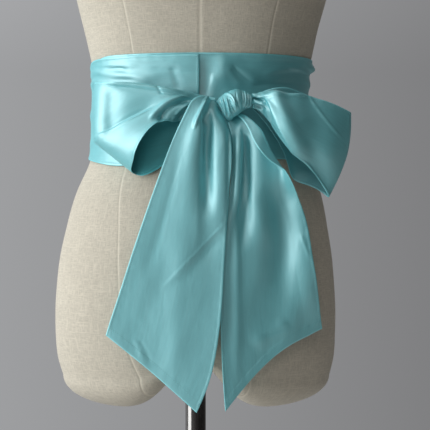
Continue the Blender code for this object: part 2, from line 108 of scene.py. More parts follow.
# Knot centre
KNOT_X = 49.0
KNOT_Z = 1018.0
BAND_FOOT, BAND_HEAD = 957.0, 1078.0
RIDGE_EASE = 0.012
END_STEPS = np.array([0, 0.25, 0.8, 1.7, 2.8, 3.6, 4.0])

FormRow = namedtuple("FormRow", "level half_width front back sway")
FORM = [
    FormRow(703, 160, 96, 108, 1.0),
    FormRow(721, 165, 101, 114, 0.5),
    FormRow(747, 167.5, 106, 120, 0.0),
    FormRow(781, 168, 110, 125, 0.0),
    FormRow(815, 166, 112, 126, 0.2),
    FormRow(847, 162.5, 112, 122, 0.8),
    FormRow(876, 157, 110, 114, 1.8),
    FormRow(904, 151, 107, 105, 3.0),
    FormRow(928, 143.5, 103, 97, 4.2),
    FormRow(957, 131.8, 98, 90, 5.4),
    FormRow(995, 128.5, 94, 86, 5.8),
    FormRow(1040, 127.8, 92, 85, 6.2),
    FormRow(1064, 129.2, 93, 86, 6.6),
    FormRow(1083, 133, 95, 88, 6.8),
    FormRow(1118, 141, 100, 93, 6.6),
    FormRow(1152, 150, 106, 97, 7.2),
    FormRow(1200, 158, 112, 102, 7.4),
    FormRow(1240, 161, 114, 106, 7.4),
    FormRow(1290, 160, 108, 108, 7.0),
    FormRow(1340, 165, 96, 105, 6.5),
    FormRow(1385, 166, 82, 96, 6.0),
    FormRow(1418, 146, 68, 82, 6.0),
    FormRow(1442, 104, 56, 70, 6.0),
    FormRow(1460, 69, 49, 61, 6.0),
    FormRow(1480, 54, 46, 54, 6.0),
    FormRow(1525, 51, 46, 50, 6.0),
]

# A fold stands out by rise, at an angle and level on the band, and fades over its spreads.
BandFold = namedtuple("BandFold", "angle level angle_spread level_spread slant rise")
OVER_FOLDS = [
    BandFold(-62, 1063, 15, 4.5, 0.10, 2.2),
    BandFold(-74, 1049, 12, 4.5, 0.15, 2.6),
    BandFold(-25, 1050, 9, 7.0, 0.40, 1.4),
]
UNDER_FOLDS = [
    BandFold(93, 1069, 17, 4.2, 0.00, 6.0),
    BandFold(80, 1050, 14, 6.0, -0.10, 2.0),
    BandFold(9, 1057, 4, 14.0, 0.00, 4.0),
    BandFold(23, 1054, 6, 5.0, -0.90, 1.6),
]

# One row for each section of a tail, from the knot to the hem. x and z are from the knot's centre, and
# middle_lift raises the middle of the section.
TailRow = namedtuple("TailRow", "share left_x left_z left_y right_x right_z right_y middle_lift")
LEFT_TAIL = [
    TailRow(0.00, -26, 5, -113, -12.4, -23.5, -113, 0),
    TailRow(0.04, -38, 8.5, -121, -10, -29, -119, 0),
    TailRow(0.08, -49, 5, -126, -8, -36, -123, 0),
    TailRow(0.13, -57, -7, -128, -7, -47, -126, 0),
    TailRow(0.20, -67, -28, -128, -7, -66, -127, 0),
    TailRow(0.30, -78, -54, -127, -9, -92, -127, 0),
    TailRow(0.45, -96, -103, -126, -12, -132, -127, 0),
    TailRow(0.65, -117, -164, -124, -15.5, -190, -127, 0),
    TailRow(0.85, -136.5, -224, -121, -23, -272, -127, 0),
    TailRow(0.93, -143.5, -245, -120, -32, -312, -126, 0),
    TailRow(1.00, -148, -260, -119, -46, -346, -126, 2),
]
RIGHT_TAIL = [
    TailRow(0.00, -11, -20.9, -106, 2, -10.3, -106, 0),
    TailRow(0.05, -8, -31, -112, 13.5, -16.5, -114, 0),
    TailRow(0.10, -5.5, -43, -115, 25, -28, -119, 0),
    TailRow(0.16, -5.8, -57, -117, 31, -39, -120, 0),
    TailRow(0.22, -7, -74, -118, 38, -55, -119, 0),
    TailRow(0.30, -8.8, -96, -119, 52, -75, -117, 0),
    TailRow(0.38, -11.2, -119, -120, 64, -95, -113, 0),
    TailRow(0.50, -14.5, -155, -121, 77, -130, -107, 0),
    TailRow(0.65, -17.8, -203, -122, 84, -167, -101, 0),
    TailRow(0.80, -19, -253, -122, 89, -203, -96, 2),
    TailRow(0.92, -17, -305, -122, 93, -238, -92, 9),
    TailRow(1.00, -14, -345, -122, 95, -257, -90, 15),
]

# One row for each fold that runs down a tail: where it starts and ends, where it lies across, how wide it
# is there as a share of the cloth, and how far it stands towards the front.
TailFold = namedtuple("TailFold", "start end top_place end_place top_width end_width rise")
LEFT_TAIL_FOLDS = [
    TailFold(0.02, 0.65, 0.28, 0.46, 0.10, 0.22, 3),
    TailFold(0.06, 0.50, 0.50, 0.66, 0.08, 0.13, -6.5),
    TailFold(0.03, 0.62, 0.84, 0.88, 0.16, 0.18, 2.5),
    TailFold(0.45, 1.30, 0.80, 0.66, 0.20, 0.34, -3),
]
RIGHT_TAIL_FOLDS = [
    TailFold(0.03, 0.60, 0.16, 0.05, 0.10, 0.05, 5),
    TailFold(0.05, 0.50, 0.38, 0.14, 0.10, 0.07, -6.5),
    TailFold(0.28, 0.80, 0.40, 0.42, 0.12, 0.16, 3),
    TailFold(0.30, 0.95, 0.70, 0.62, 0.16, 0.20, -5),
    TailFold(0.42, 1.25, 0.95, 0.60, 0.13, 0.20, 4),
]

# The right tail's side hem is turned over onto its face below the knot, and untwists further down.
# One row for each section: how far the strip is turned, and how wide it is.
TurnRow = namedtuple("TurnRow", "share degrees width")
TURNBACK = [
    TurnRow(0.00, 160, 7),
    TurnRow(0.06, 160, 13),
    TurnRow(0.12, 159, 20),
    TurnRow(0.18, 154, 21),
    TurnRow(0.24, 130, 21),
    TurnRow(0.30, 85, 21),
    TurnRow(0.36, 45, 21),
    TurnRow(0.44, 15, 21),
    TurnRow(0.60, 2, 21),
    TurnRow(1.00, 0, 21),
]

# One row for each section of a loop, from its front root out to the turn and back behind. A section runs
# from the upper hem over a ridge to the lower hem, and roundness 0 keeps the ridge a sharp crease.
LoopRow = namedtuple("LoopRow", "share ux uy uz mx my mz lx ly lz roundness")
LEFT_LOOP = [
    LoopRow(0.00, -24.6, -106, 7, -24.6, -108, 0, -24.6, -106, -7, 1.0),
    LoopRow(0.08, -39, -106, 10, -40, -110, -1, -39, -103, -12, 1.0),
    LoopRow(0.16, -54, -108, 13, -57, -116, 0, -54, -103, -17, 1.0),
    LoopRow(0.25, -75, -114, 17, -80, -122, -1.6, -73, -113, -20, 0.9),
    LoopRow(0.34, -100, -113, 22, -110.4, -119, -9.4, -92.5, -128, -24.8, 0.55),
    LoopRow(0.42, -129.3, -107, 25, -136.3, -114, -25.6, -109.4, -131, -46.5, 0.25),
    LoopRow(0.47, -151.6, -96, 25.6, -155.7, -103, -36.9, -117.5, -122, -66.3, 0.1),
    LoopRow(0.50, -163.8, -78, 26.7, -164.8, -85, -40.7, -119.6, -108, -75.3, 0.1),
    LoopRow(0.53, -158.6, -60, 24.8, -157.6, -66, -40.3, -115, -94, -79, 0.2),
    LoopRow(0.60, -132, -68, 23, -130, -76, -34, -106, -95, -80, 0.7),
    LoopRow(0.72, -98, -89, 18, -96, -94, -24, -86, -98, -70, 1.0),
    LoopRow(0.85, -62, -98, 12, -60, -100, -10, -57, -100, -41, 1.0),
    LoopRow(0.94, -40, -98.5, 9, -40, -99, -2, -40, -99, -18, 1.0),
    LoopRow(1.00, -25, -98, 6, -25, -98, 0, -25, -98, -7, 1.0),
]
RIGHT_LOOP = [
    LoopRow(0.00, 16.8, -109, 10, 16.8, -111, 3, 16.8, -109, -4, 1.0),
    LoopRow(0.07, 28, -110, 14, 27, -116, 3, 25, -108, -8, 1.0),
    LoopRow(0.15, 42, -113, 14, 37, -125, -5, 33, -112, -17, 0.9),
    LoopRow(0.24, 57, -115, 12, 51, -131, -17, 41, -117, -29, 0.8),
    LoopRow(0.33, 73, -113, 11, 71, -130, -31, 53, -121, -45, 0.8),
    LoopRow(0.42, 100, -105, 4, 99, -120, -46, 76, -118, -68, 0.8),
    LoopRow(0.47, 118, -98, -3, 117, -107, -53, 94, -111, -89, 0.8),
    LoopRow(0.50, 129, -91, -8, 125, -95, -56, 103, -104, -104, 0.8),
    LoopRow(0.53, 124, -85, -6, 119, -86, -54, 98, -97, -101, 0.8),
    LoopRow(0.60, 106, -82, 3, 101, -76, -46, 80, -90, -91, 0.8),
    LoopRow(0.70, 78, -88, 13, 75, -80, -31, 63, -86, -83, 0.8),
    LoopRow(0.82, 55, -97, 20, 52, -92, -20, 53, -95, -55, 1.0),
    LoopRow(0.92, 34, -101, 17, 33, -98, -1, 34, -98, -24, 1.0),
    LoopRow(1.00, 16.8, -100, 9, 16.8, -99, 2, 16.8, -100, -4, 1.0),
]

# Gathers that fan out from the knot: how many, how deep, and how far they reach along the loop.
GATHER_WAVES = 2.0
GATHER_DEPTH = 1.8
GATHER_REACH = 0.16

# One row for each ring of the knot, from its left end to its right end.
KnotRow = namedtuple("KnotRow", "share x y z half_height half_depth lean bow")
KNOT = [
    KnotRow(0.00, -19.5, -109.5, -4.0, 7.0, 8.0, 4.4, 0.0),
    KnotRow(0.16, -15.5, -109.0, -3.8, 12.6, 11.5, 3.4, 0.0),
    KnotRow(0.36, -9.5, -108.5, -2.2, 14.8, 14.0, 0.4, 0.5),
    KnotRow(0.54, -2.5, -107.3, 0.6, 12.2, 14.4, -1.8, 1.2),
    KnotRow(0.72, 5.0, -105.5, 3.2, 9.6, 13.4, -0.6, 2.0),
    KnotRow(0.88, 10.8, -103.8, 3.2, 8.4, 11.5, 0.0, 1.4),
    KnotRow(1.00, 15.4, -102.5, 2.8, 6.8, 9.0, 0.4, 0.0),
]


SATIN_BASE = (0.10, 0.44, 0.475)
# The reverse's base colour is darker than the face's: partly the cloth's own duller reverse, partly painted shade
# for the inside of the left loop.
REVERSE_AND_SHADE_BASE = (0.05, 0.34, 0.37)
LINEN_BASE = (0.55, 0.50, 0.41)

# A crease runs between two pixels of the photograph, bends sideways at its middle and fades at both ends.
# It is a ridge, or a trough where rise is negative, and lean makes one of its two sides wider.
Crease = namedtuple("Crease", "x0 y0 x1 y1 bend start_width end_width rise lean")
OVER_CREASES = [
    Crease(92, 69, 130, 70.5, 1, 1.6, 2.6, -1.8, 0.0),
    Crease(92, 74, 150, 78, 1, 1.8, 3.2, 1.3, 0.0),
    Crease(96, 79.5, 135, 80, 0, 1.0, 1.4, -0.8, 0.0),
    Crease(104, 64.5, 140, 66, 0, 1.2, 1.8, 0.8, 0.0),
    Crease(120, 60, 185, 63, 1, 1.5, 3.0, 0.6, 0.0),
    Crease(150, 68, 196, 74, 1, 2.0, 3.0, -0.6, 0.0),
    Crease(171, 66, 180, 92, 0, 4.0, 5.0, -1.3, 0.4),
    Crease(197.5, 44, 199.0, 106, 0, 16.0, 18.0, 4.5, -0.85),
    Crease(199.0, 50, 200.6, 102, 0, 0.9, 0.9, 1.0, 0.0),
]
UNDER_CREASES = [
    Crease(215, 72, 208, 106, 0.5, 4.0, 6.0, 2.0, 0.3),
    Crease(228, 52, 226, 112, 1, 12.0, 14.0, 1.6, 0.0),
    Crease(231, 64, 252, 82.5, -1, 0.7, 0.9, -0.9, 0.6),
    Crease(226, 66, 243, 88, -1, 3.0, 5.0, 1.0, 0.0),
    Crease(240, 60.5, 300, 62.5, 0, 1.0, 1.6, -0.5, 0.0),
    Crease(262, 74, 308, 68, 2, 2.5, 3.5, 1.0, 0.0),
    Crease(250, 86, 300, 84, 1, 2.5, 3.5, -1.0, 0.0),
    Crease(286, 66, 312, 76, 1, 1.2, 1.6, 0.9, 0.0),
]
LEFT_LOOP_CREASES = [
    Crease(96, 81.4, 202, 96.3, 1.8, 1.1, 1.4, 1.9, 0.0),
    Crease(100, 84.6, 204, 98.9, 1.3, 0.9, 1.2, -1.9, 0.0),
    Crease(156, 85, 163, 95, 0, 1.2, 1.0, -1.4, 0.0),
    Crease(146, 84, 200, 93, 1.2, 0.5, 0.6, -0.7, 0.0),
    Crease(95.5, 80, 95.0, 140, 0, 0.8, 0.8, 1.2, 0.0),
    Crease(94.5, 76, 95, 142, 0, 9.0, 9.0, 3.0, 0.1),
    Crease(111, 84, 106, 146, 0, 9.0, 7.0, -2.6, 0.3),
    Crease(90, 140.0, 156, 105.5, 0.4, 0.8, 1.4, 1.5, 0.0),
    Crease(90, 137.6, 154, 103.0, 0.4, 1.2, 2.4, -1.4, 0.0),
    Crease(88, 135, 166, 98, 0.4, 5.0, 8.0, -3.0, 0.2),
    Crease(96, 145, 118, 160, 0.0, 3.0, 5.0, -1.6, 0.0),
    Crease(134, 162, 176, 112, 3.0, 9.0, 6.0, 3.0, 0.0),
    Crease(148, 122, 192, 95.5, 7.0, 3.0, 1.8, 3.0, 0.0),
    Crease(158, 124, 194, 99.5, 6.5, 3.4, 2.2, -5.0, 0.0),
    Crease(170, 124, 194, 102.5, 4.0, 1.4, 1.1, 1.6, 0.0),
    Crease(177, 122, 195, 105.0, 2.2, 2.0, 1.3, -2.4, 0.0),
]
RIGHT_LOOP_CREASES = [
    Crease(270.5, 84, 306, 168, -0.5, 7.5, 8.5, 6.5, 0.0),
    Crease(263, 97, 272, 126, 1.5, 1.5, 2.0, -2.6, 0.0),
    Crease(262, 92, 297, 158, 1.0, 2.0, 2.0, 2.2, 0.3),
    Crease(308, 88, 326, 160, 0.0, 9.0, 12.0, -2.6, 0.0),
    Crease(307, 90, 345, 142, -1.8, 0.8, 1.0, 1.2, 0.0),
    Crease(258, 96.0, 312, 94.4, -1.2, 1.6, 1.6, 2.6, 0.0),
    Crease(260, 91.5, 312, 90.0, 0.0, 2.2, 2.2, -1.6, 0.0),
    Crease(251, 95.5, 265, 99, 1.0, 1.2, 1.6, 2.6, 0.0),
    Crease(252, 98.5, 265, 102, 0.5, 0.9, 1.2, -2.6, 0.0),
    Crease(252, 101, 266, 105, 0.5, 1.2, 1.6, 2.6, 0.0),
    Crease(252, 104.5, 266, 110, 0.5, 1.2, 1.6, -3.2, 0.0),
    Crease(350, 100, 348, 150, 0.0, 1.2, 1.2, 1.4, 0.0),
    Crease(304, 160, 330, 194, 0.0, 1.2, 1.2, 1.2, 0.0),
    Crease(302, 120, 334, 205, 0.0, 12.0, 9.0, -3.5, 0.0),
]
LEFT_TAIL_CREASES = [
    Crease(209.5, 94, 194.5, 130, -1.0, 1.0, 1.8, 3.4, -0.4),
    Crease(213, 95, 204, 128, 0.5, 3.4, 3.8, -4.2, 0.0),
    Crease(205, 104, 208, 220, 0.0, 3.4, 5.5, -3.4, 0.3),
    Crease(222, 104, 217, 240, 0.0, 7.0, 10.0, 1.4, 0.0),
    Crease(228, 112, 228, 330, 1.0, 1.8, 5.0, -1.6, 0.0),
    Crease(199, 112, 194, 262, 0.0, 8.0, 17.0, 3.0, -0.5),
    Crease(180, 150, 140, 290, 3.0, 3.0, 6.0, -0.6, 0.0),
    Crease(230, 218, 160, 291, -1.0, 1.2, 2.8, 0.5, 0.5),
    Crease(226, 232, 170, 296, -2.0, 5.0, 9.0, -1.0, 0.0),
    Crease(184, 226, 176, 410, 0.0, 20.0, 26.0, 4.2, 0.3),
    Crease(134, 338, 146, 366, 0.5, 2.0, 3.0, 0.5, 0.0),
    Crease(140, 340, 152, 366, 0.5, 1.6, 2.4, -0.4, 0.0),
]
RIGHT_TAIL_CREASES = [
    Crease(240, 120, 234.5, 220, 1.5, 3.2, 1.8, 3.4, -0.2),
    Crease(246.5, 127, 243, 250, 2.0, 4.0, 6.0, -4.4, 0.2),
    Crease(259, 132, 270, 256, -2.0, 7.0, 13.0, 2.6, 0.0),
    Crease(284, 172, 288, 312, -3.0, 8.0, 12.0, -2.4, 0.0),
    Crease(300, 180, 315, 330, -4.0, 9.0, 12.0, 3.6, 0.0),
    Crease(288, 320, 250, 345, 2.0, 8.0, 9.0, 1.6, 0.0),
    Crease(235.5, 205, 236, 390, 1.0, 3.0, 6.0, 1.6, 0.0),
    Crease(300, 232, 311, 262, 0.5, 1.6, 2.4, 0.7, 0.0),
    Crease(262, 336, 290, 326, 0.0, 1.4, 2.0, -0.4, 0.0),
]
KNOT_CREASES = [
    Crease(237, 84, 235, 130, 0.0, 9.0, 9.0, 5.0, 0.0),
    Crease(223.5, 94, 235, 107, 3.4, 0.7, 0.8, 1.6, 0.0),
    Crease(229, 98.5, 234.8, 107.5, 0.8, 0.6, 0.7, 1.3, 0.0),
    Crease(226, 97, 229.7, 115, 0.6, 1.3, 0.8, 1.9, 0.0),
    Crease(222, 97.5, 227.6, 118, 0.6, 1.2, 0.7, 1.8, 0.0),
    Crease(217.8, 100.5, 226.4, 118, 0.8, 1.0, 0.7, 1.4, 0.0),
    Crease(229.3, 99, 233.6, 110, -0.3, 0.5, 0.7, -1.6, 0.0),
    Crease(227.8, 99, 231.6, 114, 0.2, 0.5, 0.6, -1.6, 0.0),
    Crease(224.3, 101, 228.3, 116, 0.2, 0.5, 0.6, -1.6, 0.0),
    Crease(220, 102, 226.2, 117, 0.6, 0.5, 0.6, -1.3, 0.0),
    Crease(235.5, 95, 238.0, 107, -0.4, 0.7, 0.9, -0.8, 0.0),
    Crease(241.2, 93, 240.6, 107, 0.8, 0.8, 0.8, -1.3, 0.0),
    Crease(243.2, 92, 242.0, 107, 2.2, 0.6, 0.6, 1.6, 0.0),
    Crease(245.6, 92, 244.3, 108, 2.8, 0.6, 0.6, 1.8, 0.0),
    Crease(248.0, 93, 246.2, 109, 3.0, 0.6, 0.6, 1.8, 0.0),
    Crease(244.4, 92, 243.2, 108, 2.5, 0.45, 0.45, -1.3, 0.0),
    Crease(246.9, 92, 245.4, 109, 2.9, 0.45, 0.45, -1.3, 0.0),
    Crease(249.4, 94, 248.2, 109, 2.4, 0.5, 0.5, -1.3, 0.0),
]

# Creases round the sides and back of the band, on the cloth itself.
OVER_SIDE_FOLDS = [
    BandFold(-100, 1058, 14, 3.6, 0.10, 2.4),
    BandFold(-118, 1040, 16, 5.0, -0.15, -1.3),
    BandFold(-138, 1051, 13, 4.0, 0.12, 2.4),
    BandFold(-165, 1032, 15, 5.0, 0.20, 2.0),
    BandFold(-95, 1010, 18, 6.0, 0.15, 1.8),
    BandFold(-125, 995, 16, 5.0, -0.12, 2.2),
    BandFold(-160, 987, 17, 5.0, 0.15, -1.2),
    BandFold(-168, 1005, 12, 4.5, 0.10, 1.6),
    BandFold(-75, 980, 14, 6.0, 0.30, 1.3),
]
UNDER_SIDE_FOLDS = [
    BandFold(105, 1046, 15, 4.0, -0.10, 2.2),
    BandFold(125, 1060, 15, 4.0, 0.12, 2.2),
    BandFold(150, 1040, 17, 5.0, -0.15, -1.3),
    BandFold(166, 1055, 13, 4.0, 0.10, 2.0),
    BandFold(95, 1015, 17, 6.0, -0.20, 2.0),
    BandFold(125, 1000, 16, 5.0, 0.10, -1.2),
    BandFold(148, 1012, 13, 4.5, -0.12, 2.0),
    BandFold(155, 985, 17, 5.5, -0.15, 2.0),
    BandFold(70, 985, 15, 6.0, -0.20, 1.8),
]

# The form's lengthwise seams: how far each is turned from the front at a level.
SeamRow = namedtuple("SeamRow", "level princess back_princess")
SEAMS = [
    SeamRow(703, 21, 157),
    SeamRow(737, 24.5, 155),
    SeamRow(812, 29, 152),
    SeamRow(877, 32, 150),
    SeamRow(947, 36.5, 147),
    SeamRow(1044, 34, 149),
    SeamRow(1135, 35, 148),
    SeamRow(1238, 36, 146),
    SeamRow(1340, 30, 148),
    SeamRow(1420, 26, 150),
    SeamRow(1525, 22, 155),
]
THREAD_RADIUS = 140.0
SEAM_STEPS = np.array([0, 0.5, 1.1, 2.0, 3.4])
GROOVE = 0.2


def spline(knots, values, at):
    """A natural cubic spline through the values at the knots."""
    knots, values = np.array(knots, float), np.array(values, float)
    step, rise = np.diff(knots), np.diff(values)
    count = len(knots)
    system, right = np.eye(count), np.zeros(count)
    for i in range(1, count - 1):
        system[i, i - 1 : i + 2] = step[i - 1], 2 * (step[i - 1] + step[i]), step[i]
        right[i] = 6 * (rise[i] / step[i] - rise[i - 1] / step[i - 1])
    bend = np.linalg.solve(system, right)
    at = np.asarray(at, float)
    i = np.clip(np.searchsorted(knots, at) - 1, 0, count - 2)
    before, after, width = at - knots[i], knots[i + 1] - at, step[i]
    return (
        (bend[i] * after**3 + bend[i + 1] * before**3) / (6 * width)
        + (values[i] / width - bend[i] * width / 6) * after
        + (values[i + 1] / width - bend[i + 1] * width / 6) * before
    )


def column(rows, name, at):
    """A table's named column, read as a smooth curve over its first column."""
    return spline([row[0] for row in rows], [getattr(row, name) for row in rows], at)


def smooth_step(x):
    x = np.clip(x, 0.0, 1.0)
    return x * x * (3 - 2 * x)


def arch(x):
    """1 at the middle of the arch between the form's two lower lobes, fading to the sides."""
    return np.exp(-((x / ARCH_HALF_WIDTH) ** 2))


def form_point(level, angle):
    """A point of the dress form at a level and an angle, both arrays or numbers."""
    half_width = column(FORM, "half_width", level)
    front, back = column(FORM, "front", level), column(FORM, "back", level)
    s, c = np.sin(angle), np.cos(angle)
    power = 2 / ROUNDNESS
    x = column(FORM, "sway", level) + half_width * np.sign(s) * np.abs(s) ** power
    depth = np.where(c > 0, front, back)
    y = -depth * np.sign(c) * np.abs(c) ** power
    for side in (-1, 1):
        across, up = (angle - side * BUST_ANGLE) / BUST_HALF_ANGLE, (level - BUST_LEVEL) / BUST_HALF_HEIGHT
        y = y - BUST_RISE * np.exp(-(across**2) - up**2)
    lift = ARCH_EDGE_LIFT * np.clip((HEM_LEVEL + ARCH_FADE - level) / ARCH_FADE, 0, 1) * arch(x)
    return np.stack([x, y, level + lift + 0 * x], axis=-1)


def bottom_point(share, angle):
    """A point of the form's closed underside; share is 1 at its edge and 0 in the middle."""
    edge = form_point(HEM_LEVEL + 0 * angle, angle)
    x, y = edge[..., 0] * share, edge[..., 1] * share
    low = LOBE_BOTTOM + ARCH_HEIGHT * arch(x)
    rounding = 1 - np.sqrt(1 - share**4)
    return np.stack([x, y, low + (edge[..., 2] - low) * rounding], axis=-1)


def grid_normals(grid):
    along, across = np.gradient(grid, axis=0), np.gradient(grid, axis=1)
    normal = np.cross(along, across)
    return normal / np.maximum(np.linalg.norm(normal, axis=-1, keepdims=True), 1e-9)


def moved_out(level, angle, distance):
    """Form points moved out along the form's surface normal."""
    small = 1e-3
    here = form_point(level, angle)
    up = form_point(level + 1.0, angle) - here
    round_it = form_point(level, angle + small) - here
    normal = np.cross(round_it, up)
    normal /= np.linalg.norm(normal, axis=-1, keepdims=True)
    return here + normal * distance[..., None]


def over_lift(degrees):
    """The outer layer climbs onto the inner one at the left side."""
    return CLEARANCE + LAYER_STEP * smooth_step((degrees - UNDERLAP_ANGLE + 14) / 10)


def over_top_drop(degrees):
    return OVER_TOP_DROP + 0 * degrees


def under_lift(degrees):
    return CLEARANCE + 0 * degrees


def under_top_drop(degrees):
    """The inner layer's top hem tucks below the outer one towards its hidden end."""
    return TUCKED_TOP_DROP * smooth_step((-50 - degrees) / 25)


def fold_relief(folds, share, place):
    """How far the folds of a tail stand forward at each point."""
    relief = np.zeros(np.broadcast(share, place).shape)
    for fold in folds:
        reach = (share - fold.start) / (fold.end - fold.start)
        middle = fold.top_place + (fold.end_place - fold.top_place) * smooth_step(reach)
        width = fold.top_width + (fold.end_width - fold.top_width) * np.clip(reach, 0, 1)
        strength = smooth_step(reach / 0.2) * (1 - smooth_step((reach - 0.35) / 0.65))
        relief += fold.rise * strength * np.exp(-(((place - middle) / width) ** 2))
    return relief


def tail_surface(rows, folds, share, place):
    """A tail's surface from its side hems; share runs down it and place across it, as one grid each."""
    ends = []
    for side in ("left", "right"):
        ends.append(np.stack([column(rows, f"{side}_{axis}", share) for axis in "xyz"], axis=-1))
    left, right = ends
    grid = left + (right - left) * place[..., None]
    grid[..., 1] -= fold_relief(folds, share, place)
    grid[..., 2] += column(rows, "middle_lift", share) * np.sin(np.pi * np.clip(place, 0, 1))
    return grid + [KNOT_X, 0, KNOT_Z]


def strip_path(turn, share):
    """The path of a strip that bends through an angle over its first part and then runs straight."""
    bent = 0.45
    turn = np.maximum(turn, 1e-4)
    arc = turn * np.minimum(share, bent) / bent
    straight = np.maximum(share - bent, 0)
    run = bent / turn * np.sin(arc) + straight * np.cos(turn)
    climb = bent / turn * (1 - np.cos(arc)) + straight * np.sin(turn)
    return run, climb


def in_front_of_band(grid):
    """Points behind the band's face, or close to it, eased out in front of it."""
    x, z = grid[..., 0] - column(FORM, "sway", grid[..., 2]), grid[..., 2]
    half_width = column(FORM, "half_width", z) + BAND_DEPTH
    front = column(FORM, "front", z) + BAND_DEPTH
    share = np.clip(np.abs(x) / half_width, 0, 0.97)
    face = -front * (1 - share**ROUNDNESS) ** (1 / ROUNDNESS) - REST_GAP
    behind = grid[..., 1] - face
    grid[..., 1] = face + (behind - np.sqrt(behind**2 + REST_EASE**2)) / 2
    return grid


def seen_at(points):
    """Where points show in the photograph, in its pixels."""
    scale = VIEW_WIDTH / PICTURE * (points[..., 1] - CAMERA_Y) / -CAMERA_Y
    return PICTURE / 2 + (points[..., 0] - CAMERA_X) / scale, PICTURE / 2 - (points[..., 2] - CAMERA_Z) / scale


def creased(grid, creases, strength=1.0):
    """The grid with creases raised towards the camera, on its front half only."""
    x, y = seen_at(grid)
    relief = np.zeros(x.shape)
    for crease in creases:
        run_x, run_y = crease.x1 - crease.x0, crease.y1 - crease.y0
        length = np.hypot(run_x, run_y)
        along = ((x - crease.x0) * run_x + (y - crease.y0) * run_y) / length**2
        across = ((x - crease.x0) * run_y - (y - crease.y0) * run_x) / length
        inside = np.clip(along, 0, 1)
        across = across - 4 * crease.bend * inside * (1 - inside)
        width = crease.start_width + (crease.end_width - crease.start_width) * inside
        width = width * np.where(across > 0, 1 + crease.lean, 1 - crease.lean)
        fade = smooth_step(along / 0.22 + 0.1) * smooth_step((1 - along) / 0.3 + 0.1)
        relief += crease.rise * fade * np.exp(-((across / width) ** 2))
    normal = grid_normals(grid)
    toward = np.clip(-3 * normal[..., 1], -1, 1)
    front = np.clip((20 - grid[..., 1]) / 40, 0, 1)
    return grid + normal * (toward * front * strength * relief)[..., None]


def rippled(grid, depth, phase=0.0):
    """The grid with slow uneven waves of a few tenths of a millimetre, as in any cloth that hangs."""
    x, y, z = grid[..., 0], grid[..., 1], grid[..., 2]
    wave = np.sin(x / 9.0 + z / 31.0 + phase) + 0.8 * np.sin(z / 17.0 - x / 23.0 + 2.1 * phase)
    wave += 0.6 * np.sin(x / 5.3 - z / 11.0 + y / 13.0 + 0.7 + phase)
    return grid + grid_normals(grid) * (depth * wave / 2.4)[..., None]


def hem_places(width, count):
    """Places across a cloth for each row of a grid, closer together at the hems and at the stitching."""
    near = np.minimum(SIDE_STEPS / width[:, None], 0.25 * SIDE_STEPS / SIDE_STEPS[-1])
    middle = near[:, -1:] + (1 - 2 * near[:, -1:]) * np.linspace(0, 1, count)[None, 1:-1]
    return np.concatenate([near, middle, 1 - near[:, ::-1]], axis=1)


def walked(grid, axis):
    """How far each point is from the grid's first row or column, in millimetres along the cloth."""
    step = np.linalg.norm(np.diff(grid, axis=axis), axis=-1)
    start = np.zeros_like(np.take(step, [0], axis=axis))
    return np.cumsum(np.concatenate([start, step], axis=axis), axis=axis)


def hems_of(grid, end_hem):
    """For each point: how far the nearest edge is, whether it lies in a hem, how far it is past the nearest
    stitching, and how far it is along that."""
    down, over = walked(grid, 0), walked(grid, 1)
    hems = [(over, down, SIDE_HEM), (over[:, -1:] - over, down, SIDE_HEM)]
    if end_hem:
        hems.append((down[-1:] - down, over, end_hem))
    edge = np.min([distance for distance, _, _ in hems], axis=0)
    folded = np.max([smooth_step((width + 0.3 - distance) / 0.8) for distance, _, width in hems], axis=0)
    past = np.array([distance - width + 0.5 for distance, _, width in hems])
    runs = np.array([run for _, run, _ in hems])
    nearest = np.abs(past).argmin(axis=0)[None]
    stitch, run = (np.take_along_axis(each, nearest, 0)[0] for each in (past, runs))
    return edge, folded, stitch, run


def new_piece(name, points, quads, slot, coords=None, values=None, smooth=True):
    """A mesh piece in metres that rides on the object, with its cloth coordinates and point values."""
    mesh = bpy.data.meshes.new(name)
    mesh.from_pydata((np.asarray(points) * METRES).tolist(), [], [list(map(int, quad)) for quad in quads])
    if coords is not None:
        layer = mesh.uv_layers.new(name="cloth")
        corner = np.empty(len(mesh.loops), np.int32)
        mesh.loops.foreach_get("vertex_index", corner)
        layer.data.foreach_set("uv", (coords[corner] * METRES).astype(np.float32).ravel())
    for key, numbers in (values or {}).items():
        kept = mesh.attributes.new(key, "FLOAT", "POINT")
        kept.data.foreach_set("value", numbers.astype(np.float32))
    if smooth:
        mesh.shade_smooth()
    piece = bpy.data.objects.new(name, mesh)
    bpy.context.scene.collection.objects.link(piece)
    mesh.materials.append(MATERIALS[slot])
    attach(piece, "root")
    return piece


def quads_of(rows, columns, start=0, wrap=False, flip=False):
    """Quads over a grid of points, joined round on itself if wrap is set."""
    index = np.arange(rows * columns).reshape(rows, columns) + start
    if wrap:
        index = np.concatenate([index, index[:, :1]], axis=1)
    corners = [index[:-1, :-1], index[:-1, 1:], index[1:, 1:], index[1:, :-1]]
    quads = np.stack(corners, axis=-1).reshape(-1, 4)
    return quads[:, ::-1] if flip else quads


